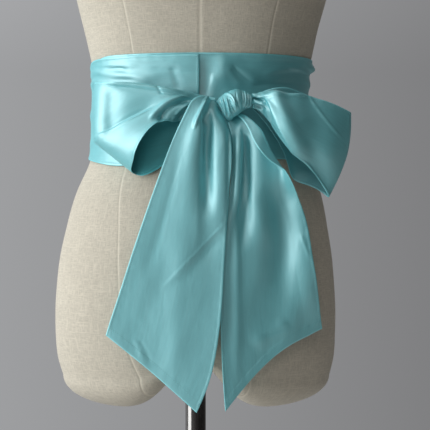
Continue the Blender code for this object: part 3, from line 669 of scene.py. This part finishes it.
def cloth_piece(name, grid, replaced, end_hem=None, shaded_reverse_side=1):
    """A thin closed shell of cloth round a grid of points, with stitched hems. Side 0 is outside, 1 inside."""
    rows, columns = grid.shape[:2]
    edge, folded, stitch, run = hems_of(grid, end_hem)
    half = HALF_CLOTH + (HALF_HEM - HALF_CLOTH) * folded - 0.16 * np.exp(-((stitch / 0.5) ** 2))
    half = half * (0.35 + 0.65 * smooth_step(edge / 0.8))
    pucker = 0.09 * np.sin(run / 2.3 + 1.5 * np.sin(run / 21.0)) * np.exp(-((stitch / 3.5) ** 2))
    normal = grid_normals(grid)
    grid = grid + normal * pucker[..., None]
    outer, inner = grid + normal * half[..., None], grid - normal * half[..., None]
    points = np.concatenate([outer.reshape(-1, 3), inner.reshape(-1, 3)])
    far = rows * columns
    round_it = np.concatenate([
        np.arange(columns),
        columns * np.arange(1, rows) + columns - 1,
        (rows - 1) * columns + np.arange(columns - 2, -1, -1),
        columns * np.arange(rows - 2, 0, -1),
    ])
    after = np.roll(round_it, -1)
    rim = np.stack([round_it, after, far + after, far + round_it], axis=1)
    quads = np.concatenate([quads_of(rows, columns, flip=True), quads_of(rows, columns, far), rim])
    coords = np.stack([walked(grid, 1) - walked(grid, 1)[:, -1:] / 2, walked(grid, 0)], axis=-1).reshape(-1, 2)
    values = {"edge": edge, "stitch": stitch, "run": run}
    values = {key: np.tile(numbers.ravel(), 2) for key, numbers in values.items()}
    piece = new_piece(name, points, quads, "satin", np.tile(coords, (2, 1)), values)
    # The darker reverse material goes on one side: partly the cloth's own reverse, partly painted shade where
    # that side lies in shade.
    if shaded_reverse_side is not None:
        piece.data.materials.append(MATERIALS["satin_back_and_shade"])
        shaded_reverse = np.arange(len(quads)) // ((rows - 1) * (columns - 1)) == shaded_reverse_side
        piece.data.polygons.foreach_set("material_index", shaded_reverse.astype(np.int32))
    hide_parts(replaced)
    return piece


def band_grid(angles, folds, top_drop, lift):
    """The middle of a band layer on a fine grid, its rows up the band and its columns round it."""
    degrees = np.asarray(angles, float)[:, None]
    low, high = BAND_FOOT, BAND_HEAD
    height = hem_places(np.full(len(angles), high - low), 56)
    dip = DIP_DEPTH * np.exp(-(((degrees - DIP_ANGLE) / DIP_SPREAD) ** 2))
    level = low + (high - low) * height
    side = np.exp(-(((degrees - SIDE_ANGLE) / SIDE_SPREAD) ** 2))
    level = level + (SIDE_RISE * side - dip) * (1 - height) ** 3
    level = level - (SIDE_DROP * side + top_drop(degrees)) * height**3
    distance = lift(degrees) + WALL / 2 + 0 * level
    for fold in folds:
        middle = fold.level + fold.slant * (degrees - fold.angle)
        across = ((degrees - fold.angle) / fold.angle_spread) ** 2
        distance = distance + fold.rise * np.exp(-across - ((level - middle) / fold.level_spread) ** 2)
    return moved_out(level, np.radians(degrees) + 0 * level, distance)


def fine_angles(first, last):
    """Angles from one end of a band layer to the other, closer together at the front."""
    front = np.arange(-62, 62, 0.75)
    angles = np.concatenate([np.arange(-180, -62, 1.5), front, np.arange(62, 180, 1.5)])
    inside = angles[(angles > first + 4) & (angles < last - 4)]
    return np.concatenate([first + END_STEPS, inside, last - END_STEPS[::-1]])


def turned_over_grid(share, panel_steps, strip_steps):
    """The right tail with its side hem turned over: the panel, then the strip swung about the fold."""
    share = share[:, None]
    turn = np.radians(column(TURNBACK, "degrees", share))
    run, climb = strip_path(turn, np.linspace(0, 1, strip_steps + 1)[None, 1:])
    strip_width = column(TURNBACK, "width", share)
    sides = tail_surface(RIGHT_TAIL, [], share, np.array([[0.0, 1.0]]))
    width = np.linalg.norm(sides[:, 1:] - sides[:, :1], axis=-1)
    edge = 1 - strip_width * run.max(axis=1, keepdims=True) / width
    place = edge * hem_places(width[:, 0], panel_steps)[:, : len(SIDE_STEPS) + panel_steps]
    place = place / place[:, -1:] * edge
    panel = tail_surface(RIGHT_TAIL, RIGHT_TAIL_FOLDS, share, place)
    last = panel[:, -1:]
    sideways = last - tail_surface(RIGHT_TAIL, RIGHT_TAIL_FOLDS, share, edge * 11 / 13)
    sideways /= np.linalg.norm(sideways, axis=-1, keepdims=True)
    down = np.gradient(last, axis=0)
    forward = np.cross(sideways, down)
    forward /= np.linalg.norm(forward, axis=-1, keepdims=True) * np.sign(-forward[..., 1:2])
    strip = last + strip_width[..., None] * (run[..., None] * sideways + climb[..., None] * forward)
    return np.concatenate([panel, strip], axis=1)


def loop_grid(rows, share, place):
    """A loop of the bow on a fine grid; share runs along it and place across it, from hem to hem."""
    share = share[:, None]
    upper, ridge, lower = (
        np.stack([column(rows, edge + axis, share) for axis in "xyz"], axis=-1) for edge in "uml"
    )
    near, place = place - 0.5, place[..., None]
    softened = np.sqrt(near**2 + RIDGE_EASE**2)[..., None]
    above, below = softened - near[..., None], softened + near[..., None]
    sharp = ridge + (upper - ridge) * above + (lower - ridge) * below
    soft = (
        upper * (2 * place - 1) * (place - 1)
        + ridge * 4 * place * (1 - place)
        + lower * place * (2 * place - 1)
    )
    roundness = np.clip(column(rows, "roundness", share), 0, 1)[..., None]
    grid = sharp + (soft - sharp) * roundness
    near = np.exp(-share / GATHER_REACH) + np.exp((share - 1) / GATHER_REACH)
    grid[..., 1] -= GATHER_DEPTH * near * np.sin(2 * np.pi * GATHER_WAVES * place[..., 0])
    return in_front_of_band(grid + [KNOT_X, 0, KNOT_Z])


def loop_width(rows, share):
    """How wide a loop's cloth is at each section, along its two straight halves."""
    edges = [np.stack([column(rows, edge + axis, share) for axis in "xyz"], axis=-1) for edge in "uml"]
    halves = np.diff(np.stack(edges), axis=0)
    return np.linalg.norm(halves, axis=-1).sum(axis=0)


def make_loop(name, rows, creases, shaded_reverse_side):
    share = np.linspace(0, 1, 190)
    grid = loop_grid(rows, share, hem_places(loop_width(rows, share), 64))
    front = 1 - smooth_step((share - 0.44) / 0.08)
    grid = creased(grid, creases, front[:, None])
    grid = rippled(grid, 0.35, len(name))
    return cloth_piece(name, grid, name.removesuffix("_cloth"), shaded_reverse_side=shaded_reverse_side)


def tail_shares(count, length):
    """Shares down a tail, closer together at the knot, at the end hem and at its stitching."""
    end = 1 - TAIL_END_STEPS[::-1] / length
    return np.concatenate([end[0] * np.linspace(0, 1, count)[:-1] ** 1.15, end])


def make_tails():
    share = tail_shares(210, 300.0)
    sides = tail_surface(LEFT_TAIL, [], share[:, None], np.array([[0.0, 1.0]]))
    width = np.linalg.norm(sides[:, 1] - sides[:, 0], axis=-1)
    place = hem_places(width, 76)
    grid = tail_surface(LEFT_TAIL, LEFT_TAIL_FOLDS, share[:, None] + 0 * place, place)
    grid = rippled(creased(grid, LEFT_TAIL_CREASES), 0.4)
    left = cloth_piece("tail_left_cloth", grid, "tail_left", END_HEM)
    share = tail_shares(210, 335.0)
    grid = turned_over_grid(share, 64, 26)
    grid = rippled(creased(grid, RIGHT_TAIL_CREASES), 0.4, 1.7)
    right = cloth_piece("tail_right_cloth", grid, "tail_right", END_HEM, None)
    return left, right


def make_bands():
    back = 180 - BACK_GAP_ANGLE
    grid = band_grid(fine_angles(-back, OVERLAP_ANGLE), OVER_FOLDS + OVER_SIDE_FOLDS, over_top_drop, over_lift)
    grid = rippled(creased(grid, OVER_CREASES), 0.25, 0.4)
    over = cloth_piece("band_over_cloth", grid, "band_over", SIDE_HEM)
    angles = fine_angles(UNDERLAP_ANGLE, back)
    grid = band_grid(angles, UNDER_FOLDS + UNDER_SIDE_FOLDS, under_top_drop, under_lift)
    grid = rippled(creased(grid, UNDER_CREASES), 0.25, 2.4)
    under = cloth_piece("band_under_cloth", grid, "band_under")
    return over, under


def knot_grid(count, sides):
    """The knot as a pleated sleeve whose two ends turn in."""
    share = np.linspace(0, 1, count)[:, None]
    turn = np.linspace(0, -2 * np.pi, sides, endpoint=False)[None, :]
    names = ("x", "y", "z", "half_height", "half_depth", "lean", "bow")
    x, y, z, half_height, half_depth, lean, bow = (column(KNOT, name, share) for name in names)
    up, forward = np.sin(turn), np.cos(turn)
    x, y, z = KNOT_X + x - lean * up + bow * forward, y - half_depth * forward, KNOT_Z + z + half_height * up
    return np.stack([x, y, z], axis=-1)


def make_knot():
    count, sides = 120, 132
    grid = knot_grid(count, sides)
    grid = creased(grid, KNOT_CREASES)
    middle = grid.mean(axis=1, keepdims=True)
    lips = []
    for scale, inward in ((0.93, -0.6), (0.84, 0.6), (0.72, 2.6), (0.6, 5.0)):
        lips.append((scale, inward))
    first = [middle[0] + (grid[0] - middle[0]) * s + [i, 0, 0] for s, i in lips]
    last = [middle[-1] + (grid[-1] - middle[-1]) * s - [i, 0, 0] for s, i in lips]
    rings = np.concatenate([np.array(first)[::-1], grid, np.array(last)])
    rows = len(rings)
    down = walked(rings, 0)
    round_it = np.concatenate([rings, rings[:, :1]], axis=1)
    over = walked(round_it, 1)[:, :-1]
    across, along = np.gradient(rings, axis=0), np.roll(rings, -1, 1) - np.roll(rings, 1, 1)
    normal = np.cross(along, across)
    normal /= np.maximum(np.linalg.norm(normal, axis=-1, keepdims=True), 1e-9)
    inner = rings - normal * 2 * HALF_CLOTH
    points = np.concatenate([rings.reshape(-1, 3), inner.reshape(-1, 3)])
    far = rows * sides
    quads = [quads_of(rows, sides, wrap=True), quads_of(rows, sides, far, wrap=True, flip=True)]
    for row, flip in ((0, True), (rows - 1, False)):
        a = row * sides + np.arange(sides)
        b = row * sides + np.roll(np.arange(sides), -1)
        rim = np.stack([a, b, far + b, far + a], axis=1)
        quads.append(rim[:, ::-1] if flip else rim)
    coords = np.tile(np.stack([down, over], axis=-1).reshape(-1, 2), (2, 1))
    values = {"edge": np.full(2 * far, 40.0), "stitch": np.full(2 * far, 40.0), "run": np.zeros(2 * far)}
    piece = new_piece("knot_cloth", points, np.concatenate(quads), "satin", coords, values)
    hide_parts("knot")
    return piece


def seam_angles(level):
    """The form's eight seams at one level, in radians from the back by way of the left."""
    front, back = column(SEAMS, "princess", level), column(SEAMS, "back_princess", level)
    return np.radians([-180, -back, -90, -front, 0, front, 90, back, 180])


def form_columns(level, between):
    """Angles round the form at one level with columns gathered at each seam, and how far each is from it."""
    seams = seam_angles(level)
    radius = column(FORM, "half_width", level) * 0.85
    near = SEAM_STEPS / radius
    angles = []
    for start, end in zip(seams[:-1], seams[1:]):
        inside = np.linspace(start + near[-1], end - near[-1], between + 2)[1:-1]
        angles.append(np.concatenate([start + near, inside, end - near[:0:-1]]))
    angles = np.concatenate(angles)
    apart = np.abs(angles[:, None] - seams[None, :]) * radius
    return angles, apart.min(axis=1)


def grooved(rings, apart):
    """The form's rings with its seams drawn in as fine grooves between slightly raised edges."""
    depth = -GROOVE * np.exp(-((apart / 0.8) ** 2)) + 0.22 * np.exp(-(((apart - 2.6) / 1.3) ** 2))
    along, across = np.gradient(rings, axis=0), np.roll(rings, -1, 1) - np.roll(rings, 1, 1)
    normal = np.cross(across, along)
    normal /= np.maximum(np.linalg.norm(normal, axis=-1, keepdims=True), 1e-9)
    return rings + normal * depth[..., None]


def make_form():
    """The torso in linen, with its lengthwise seams, a rounded underside and a covered neck."""
    rings, apart = [], []
    shares = np.concatenate([np.linspace(0.02, 0.86, 16), 1 - 0.12 * np.linspace(1, 0.12, 12) ** 1.5])
    bottom = len(shares)
    for share in shares:
        angles, distance = form_columns(HEM_LEVEL, 20)
        rings.append(bottom_point(share, angles))
        apart.append(distance + 30 * (share < 0.5))
    for level in np.concatenate([np.arange(HEM_LEVEL, 1400, 4.0), np.arange(1400, 1525, 3.0), [1525]]):
        angles, distance = form_columns(level, 20)
        rings.append(form_point(level + 0 * angles, angles))
        apart.append(distance)
    rings, apart = np.array(rings), np.array(apart)
    rings = grooved(rings, apart)
    neck, middle = rings[-1], rings[-1].mean(0)
    for scale, rise in ((0.985, 1.6), (0.95, 2.6), (0.9, 3.0), (0.82, 3.2), (0.5, 4.2), (0.05, 4.8)):
        rings = np.concatenate([rings, [middle + (neck - middle) * scale + [0, 0, rise]]])
        apart = np.concatenate([apart, [np.where(scale > 0.9, apart[-1], 30.0)]])
    rows, columns = rings.shape[:2]
    ends = np.array([rings[0].mean(0), rings[-1].mean(0)])
    points = np.concatenate([rings.reshape(-1, 3), ends])
    a, b = np.arange(columns), np.roll(np.arange(columns), -1)
    quads = quads_of(rows, columns, wrap=True).tolist()
    quads += [(rows * columns, k, j) for j, k in zip(a, b)]
    quads += [(rows * columns + 1, (rows - 1) * columns + j, (rows - 1) * columns + k) for j, k in zip(a, b)]
    sway = column(FORM, "sway", np.maximum(rings[..., 2], HEM_LEVEL))
    round_it = np.arctan2(rings[..., 0] - sway, -rings[..., 1]) * THREAD_RADIUS
    climbed = walked(rings, 0) - walked(rings, 0)[bottom] + rings[bottom, :, 2]
    height = np.where(np.arange(rows)[:, None] < bottom, climbed, rings[..., 2])
    coords = np.stack([round_it, height], axis=-1).reshape(-1, 2)
    coords = np.concatenate([coords, [[0, 0], [0, height.max()]]])
    values = {"seam": np.concatenate([apart.ravel(), [30.0, 30.0]])}
    piece = new_piece("form_linen", points, quads, "linen", coords, values)
    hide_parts("dress_form")
    return piece


def turned(name, profile, slot, replaced, sides=120):
    """A turned piece from (radius, height) pairs, the first and last of which are on the axis."""
    angles = np.linspace(0, 2 * np.pi, sides, endpoint=False)
    rings = [np.stack([r * np.cos(angles), r * np.sin(angles), h + 0 * angles], -1) for r, h in profile[1:-1]]
    points = np.concatenate(rings + [[(0, 0, profile[0][1]), (0, 0, profile[-1][1])]])
    count = len(rings)
    quads = quads_of(count, sides, wrap=True).tolist()
    for j in range(sides):
        k = (j + 1) % sides
        quads.append((count * sides, k, j))
        quads.append((count * sides + 1, (count - 1) * sides + j, (count - 1) * sides + k))
    piece = new_piece(name, points, quads, slot)
    piece.data.set_sharp_from_angle(angle=np.radians(40))
    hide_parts(replaced)
    return piece


def rounded(corners, radius):
    """A profile with each inner corner cut to a small round."""
    profile = [corners[0]]
    for before, here, after in zip(corners, corners[1:], corners[2:]):
        here = np.array(here, float)
        into, out = np.array(before) - here, np.array(after) - here
        size = min(radius, 0.4 * np.linalg.norm(into), 0.4 * np.linalg.norm(out))
        start, end = here + into / np.linalg.norm(into) * size, here + out / np.linalg.norm(out) * size
        for t in (0.0, 0.3, 0.7, 1.0):
            profile.append(tuple((1 - t) ** 2 * start + 2 * t * (1 - t) * here + t * t * end))
    return profile + [corners[-1]]


def make_stand():
    foot = SOCKET_FLOOR + POLE_FIT
    turned("pole_tube", [(0, foot), (POLE_RADIUS, foot), (POLE_RADIUS, POLE_TOP), (0, POLE_TOP)],
           "polished_steel", "pole")
    bore = POLE_RADIUS + POLE_FIT
    corners = [
        (0, 0), (BASE_RADIUS, 0), (BASE_RADIUS, BASE_THICKNESS - 3), (BASE_RADIUS - 5, BASE_THICKNESS),
        (SOCKET_RADIUS + 12, BASE_THICKNESS + 2), (SOCKET_RADIUS, BASE_THICKNESS + 12),
        (SOCKET_RADIUS, SOCKET_TOP), (bore, SOCKET_TOP), (bore, SOCKET_FLOOR), (0, SOCKET_FLOOR),
    ]
    turned("base_plate", rounded(corners, 3.0), "base_paint", "base")


def shader_node(tree, kind, inputs=(), **settings):
    """A shader node. An input is a number, a colour or another node's output."""
    made = tree.nodes.new(kind)
    for name, value in settings.items():
        setattr(made, name, value)
    for key, value in dict(inputs).items():
        if isinstance(value, bpy.types.NodeSocket):
            tree.links.new(value, made.inputs[key])
        else:
            made.inputs[key].default_value = value
    return made


def calc(tree, operation, first, second=0.0, third=0.0):
    return shader_node(tree, "ShaderNodeMath", {0: first, 1: second, 2: third}, operation=operation).outputs[0]


def ranged(tree, value, low, high, out_low=0.0, out_high=1.0):
    """A value taken from one range to another, and held inside it."""
    inputs = {"Value": value, 1: low, 2: high, 3: out_low, 4: out_high}
    return shader_node(tree, "ShaderNodeMapRange", inputs).outputs["Result"]


def mixed(tree, share, first, second):
    """Two colours mixed."""
    made = shader_node(tree, "ShaderNodeMix", data_type="RGBA")
    for key, value in ((0, share), (6, first), (7, second)):
        if isinstance(value, bpy.types.NodeSocket):
            tree.links.new(value, made.inputs[key])
        else:
            made.inputs[key].default_value = value
    return made.outputs[2]


def tint(colour, scale):
    return tuple(min(1.0, part * scale) for part in colour) + (1.0,)


def point_value(tree, name):
    return shader_node(tree, "ShaderNodeAttribute", attribute_name=name).outputs["Fac"]


def noise_on(tree, place, scale, size=1.0, detail=2.0):
    """Noise on the cloth, stretched by the three scales."""
    stretched = shader_node(tree, "ShaderNodeMapping", {"Vector": place, "Scale": scale}).outputs[0]
    made = shader_node(tree, "ShaderNodeTexNoise", {"Vector": stretched, "Scale": size, "Detail": detail})
    return made.outputs["Fac"]


def bumped(tree, height, strength, distance, under=None):
    inputs = {"Height": height, "Strength": strength, "Distance": distance}
    if under is not None:
        inputs["Normal"] = under
    return shader_node(tree, "ShaderNodeBump", inputs).outputs[0]


def satin_material(name, base, specular, smoothness, sheen):
    """Satin: long floats that catch the light across the cloth, a soft sheen and stitched hems."""
    material = bpy.data.materials.new(name)
    material.use_nodes = True
    tree = material.node_tree
    shader = tree.nodes["Principled BSDF"]
    place = shader_node(tree, "ShaderNodeUVMap", uv_map="cloth").outputs[0]
    floats = noise_on(tree, place, (2600, 300, 1))
    slubs = noise_on(tree, place, (160, 2400, 1))
    cloud = noise_on(tree, place, (22, 14, 1), 1.0, 3.0)
    streaks = noise_on(tree, place, (420, 14, 1), 1.0, 3.0)
    edge, run = point_value(tree, "edge"), point_value(tree, "run")
    off_line = calc(tree, "ABSOLUTE", point_value(tree, "stitch"))
    beat = calc(tree, "FRACT", calc(tree, "DIVIDE", run, STITCH))
    thread = calc(tree, "MULTIPLY", ranged(tree, off_line, 0.42, 0.18), calc(tree, "LESS_THAN", beat, 0.78))
    hole = calc(tree, "MULTIPLY", ranged(tree, off_line, 0.5, 0.2), calc(tree, "GREATER_THAN", beat, 0.8))
    colour = mixed(tree, ranged(tree, cloud, 0.3, 0.7), tint(base, 0.93), tint(base, 1.06))
    colour = mixed(tree, ranged(tree, floats, 0.35, 0.7, 0.0, 0.35), colour, tint(base, 1.16))
    colour = mixed(tree, ranged(tree, slubs, 0.55, 0.8, 0.0, 0.3), colour, tint(base, 0.86))
    colour = mixed(tree, ranged(tree, streaks, 0.45, 0.75, 0.0, 0.5), colour, tint(base, 0.88))
    # Painted shade in the needle holes between the stitches.
    colour = mixed(tree, calc(tree, "MULTIPLY", hole, 0.7), colour, tint(base, 0.35))
    colour = mixed(tree, calc(tree, "MULTIPLY", thread, 0.5), colour, tint(base, 1.25))
    # Painted highlight along the cut edges, where the rolled hem would catch the light, with a little edge wear.
    colour = mixed(tree, ranged(tree, edge, 1.7, 0.3, 0.0, 0.8), colour, tint(base, 1.5))
    tree.links.new(colour, shader.inputs["Base Color"])
    rough = ranged(tree, floats, 0.3, 0.7, 1.0 - smoothness, 1.08 - smoothness)
    rough = calc(tree, "ADD", rough, ranged(tree, cloud, 0.3, 0.7, -0.02, 0.03))
    rough = calc(tree, "ADD", rough, calc(tree, "MULTIPLY", thread, 0.15))
    tree.links.new(rough, shader.inputs["Roughness"])
    waves = noise_on(tree, place, (45, 16, 1), 1.0, 3.0)
    crush = bumped(tree, streaks, 0.35, 0.0002, bumped(tree, waves, 0.5, 0.0018))
    weave = bumped(tree, calc(tree, "ADD", floats, calc(tree, "MULTIPLY", slubs, 0.6)), 0.14, 0.0001, crush)
    height = calc(tree, "SUBTRACT", thread, hole)
    tree.links.new(bumped(tree, height, 0.5, 0.0002, weave), shader.inputs["Normal"])
    across = shader_node(tree, "ShaderNodeTangent", direction_type="UV_MAP", uv_map="cloth").outputs[0]
    tree.links.new(across, shader.inputs["Tangent"])
    for name, value in {
        "IOR": 2.25, "Specular IOR Level": specular, "Anisotropic": 0.4, "Sheen Weight": sheen,
        "Specular Tint": (0.74, 0.98, 1.0, 1.0), "Sheen Roughness": 0.4, "Sheen Tint": (0.8, 0.97, 1.0, 1.0),
    }.items():
        shader.inputs[name].default_value = value
    return material


def linen_material():
    """Linen: crossing threads with slubs, slightly mottled, and paler along the seams."""
    material = bpy.data.materials.new("linen_cloth")
    material.use_nodes = True
    tree = material.node_tree
    shader = tree.nodes["Principled BSDF"]
    place = shader_node(tree, "ShaderNodeUVMap", uv_map="cloth").outputs[0]
    warp = noise_on(tree, place, (1300, 160, 1))
    weft = noise_on(tree, place, (160, 1300, 1))
    slub_down = noise_on(tree, place, (600, 45, 1))
    slub_over = noise_on(tree, place, (45, 600, 1))
    cloud = noise_on(tree, place, (14, 14, 1), 1.0, 4.0)
    seam = point_value(tree, "seam")
    threads = calc(tree, "ADD", warp, weft)
    slubs = calc(tree, "MAXIMUM", slub_down, slub_over)
    colour = mixed(tree, ranged(tree, cloud, 0.3, 0.7), tint(LINEN_BASE, 0.94), tint(LINEN_BASE, 1.05))
    colour = mixed(tree, ranged(tree, threads, 0.8, 1.15, 0.3, 1.0), tint(LINEN_BASE, 0.7), colour)
    colour = mixed(tree, ranged(tree, slubs, 0.52, 0.74, 0.0, 0.55), colour, tint(LINEN_BASE, 1.2))
    colour = mixed(tree, ranged(tree, seam, 1.4, 0.5, 0.0, 0.55), colour, tint(LINEN_BASE, 1.3))
    tree.links.new(colour, shader.inputs["Base Color"])
    tree.links.new(ranged(tree, threads, 0.8, 1.2, 0.95, 0.8), shader.inputs["Roughness"])
    fine = bumped(tree, threads, 0.5, 0.0003)
    tree.links.new(bumped(tree, slubs, 0.35, 0.0004, fine), shader.inputs["Normal"])
    for name, value in {
        "Specular IOR Level": 0.25, "Sheen Weight": 0.12, "Sheen Roughness": 0.6,
        "Sheen Tint": (1.0, 0.95, 0.86, 1.0),
    }.items():
        shader.inputs[name].default_value = value
    return material


def steel_material():
    """Polished steel with fine marks along the tube."""
    material = bpy.data.materials.new("steel_tube")
    material.use_nodes = True
    tree = material.node_tree
    shader = tree.nodes["Principled BSDF"]
    place = shader_node(tree, "ShaderNodeTexCoord").outputs["Object"]
    marks = noise_on(tree, place, (900, 900, 12))
    smudge = noise_on(tree, place, (30, 30, 9), 1.0, 3.0)
    colour = mixed(tree, ranged(tree, smudge, 0.35, 0.7), (0.19, 0.18, 0.17, 1), (0.24, 0.23, 0.22, 1))
    tree.links.new(colour, shader.inputs["Base Color"])
    rough = calc(tree, "ADD", ranged(tree, marks, 0.4, 0.7, 0.08, 0.16), ranged(tree, smudge, 0.4, 0.7, 0.0, 0.1))
    tree.links.new(rough, shader.inputs["Roughness"])
    tree.links.new(bumped(tree, marks, 0.08, 0.0001), shader.inputs["Normal"])
    shader.inputs["Metallic"].default_value = 1.0
    return material


def paint_material():
    """Black powder paint with a fine grain of lighter flecks, a little uneven in tone."""
    material = bpy.data.materials.new("black_paint")
    material.use_nodes = True
    tree = material.node_tree
    shader = tree.nodes["Principled BSDF"]
    place = shader_node(tree, "ShaderNodeTexCoord").outputs["Object"]
    grain = noise_on(tree, place, (1100, 1100, 1100))
    cloud = noise_on(tree, place, (16, 16, 16), 1.0, 4.0)
    colour = mixed(tree, ranged(tree, cloud, 0.35, 0.7), (0.030, 0.030, 0.032, 1), (0.055, 0.054, 0.052, 1))
    colour = mixed(tree, ranged(tree, grain, 0.62, 0.8, 0.0, 0.5), colour, (0.12, 0.118, 0.112, 1))
    tree.links.new(colour, shader.inputs["Base Color"])
    tree.links.new(ranged(tree, cloud, 0.3, 0.7, 0.42, 0.6), shader.inputs["Roughness"])
    tree.links.new(bumped(tree, grain, 0.3, 0.0002), shader.inputs["Normal"])
    return material


def floor_material():
    material = bpy.data.materials.new("pale_floor")
    material.use_nodes = True
    tree = material.node_tree
    shader = tree.nodes["Principled BSDF"]
    place = shader_node(tree, "ShaderNodeTexCoord").outputs["Object"]
    cloud = noise_on(tree, place, (2, 2, 2), 1.0, 3.0)
    colour = mixed(tree, ranged(tree, cloud, 0.3, 0.7), (0.66, 0.65, 0.635, 1), (0.70, 0.69, 0.675, 1))
    tree.links.new(colour, shader.inputs["Base Color"])
    shader.inputs["Roughness"].default_value = 0.8
    return material


def make_floor():
    mesh = bpy.data.meshes.new("floor")
    turn = np.linspace(0, 2 * np.pi, 96, endpoint=False)
    mesh.from_pydata([(2.9 * np.cos(a), 2.9 * np.sin(a), -0.0005) for a in turn], [], [list(range(96))])
    floor = bpy.data.objects.new("floor", mesh)
    mesh.materials.append(floor_material())
    bpy.context.scene.collection.objects.link(floor)


def make_world():
    """Soft light from all round: bright on the left, dim on the right and behind the camera."""
    world = bpy.data.worlds.new("studio")
    bpy.context.scene.world = world
    world.use_nodes = True
    tree = world.node_tree
    place = shader_node(tree, "ShaderNodeTexCoord").outputs["Generated"]
    axes = shader_node(tree, "ShaderNodeSeparateXYZ", {0: place}).outputs
    colour = mixed(tree, ranged(tree, axes["X"], -0.9, -0.2), (0.62, 0.64, 0.67, 1), (0.36, 0.365, 0.375, 1))
    colour = mixed(tree, ranged(tree, axes["X"], -0.2, 0.22), colour, (0.185, 0.185, 0.19, 1))
    colour = mixed(tree, ranged(tree, axes["X"], 0.3, 0.8), colour, (0.07, 0.07, 0.07, 1))
    tree.links.new(colour, tree.nodes["Background"].inputs["Color"])
    strength = ranged(tree, axes["Y"], -0.3, 0.6, 0.28, 1.0)
    strength = calc(tree, "MULTIPLY", strength, ranged(tree, axes["Z"], 0.1, 0.7, 1.0, 2.4))
    tree.links.new(strength, tree.nodes["Background"].inputs["Strength"])


def make_light(name, place, target, size, power, colour):
    lamp = bpy.data.lights.new(name, "AREA")
    lamp.shape = "RECTANGLE"
    lamp.size, lamp.size_y = size
    lamp.energy = power
    lamp.color = colour
    thing = bpy.data.objects.new(name, lamp)
    thing.location = place
    thing.rotation_euler = (Vector(target) - Vector(place)).to_track_quat("-Z", "Y").to_euler()
    bpy.context.scene.collection.objects.link(thing)


def make_camera():
    lens = bpy.data.cameras.new("photo_camera")
    lens.sensor_width = 36.0
    lens.lens = 36.0 * -CAMERA_Y / VIEW_WIDTH
    camera = bpy.data.objects.new("photo_camera", lens)
    camera.location = (CAMERA_X * METRES, CAMERA_Y * METRES, CAMERA_Z * METRES)
    camera.rotation_euler = (np.pi / 2, 0, 0)
    bpy.context.scene.collection.objects.link(camera)
    bpy.context.scene.camera = camera


MATERIALS = {
    "satin": satin_material("satin_face", SATIN_BASE, 1.0, 0.54, 0.15),
    # The darker reverse: partly the cloth's own duller reverse, partly painted shade.
    "satin_back_and_shade": satin_material("satin_reverse_and_shade", REVERSE_AND_SHADE_BASE, 0.28, 0.42, 0.1),
    "linen": linen_material(),
    "polished_steel": steel_material(),
    "base_paint": paint_material(),
}
make_form()
make_stand()
band_over, band_under = make_bands()
knot = make_knot()
# The left loop's inside gets the darker reverse as painted shade; the right loop and the right tail keep the face
# on both sides.
loop_left = make_loop("loop_left_cloth", LEFT_LOOP, LEFT_LOOP_CREASES, 1)
loop_right = make_loop("loop_right_cloth", RIGHT_LOOP, RIGHT_LOOP_CREASES, None)
tail_left, tail_right = make_tails()

make_floor()
make_world()
make_light("window", (-2.5, -1.0, 1.35), (0, 0, 0.95), (2.0, 2.6), 76, (0.94, 0.98, 1.0))
make_light("overhead", (-0.7, -1.1, 2.9), (0, 0, 0.95), (1.6, 1.2), 8, (0.96, 0.99, 1.0))
make_light("fill", (-0.3, -3.0, 2.2), (0, 0, 0.95), (1.4, 1.4), 9, (1.0, 0.98, 0.95))
make_camera()
bpy.context.scene.view_settings.view_transform = "Standard"
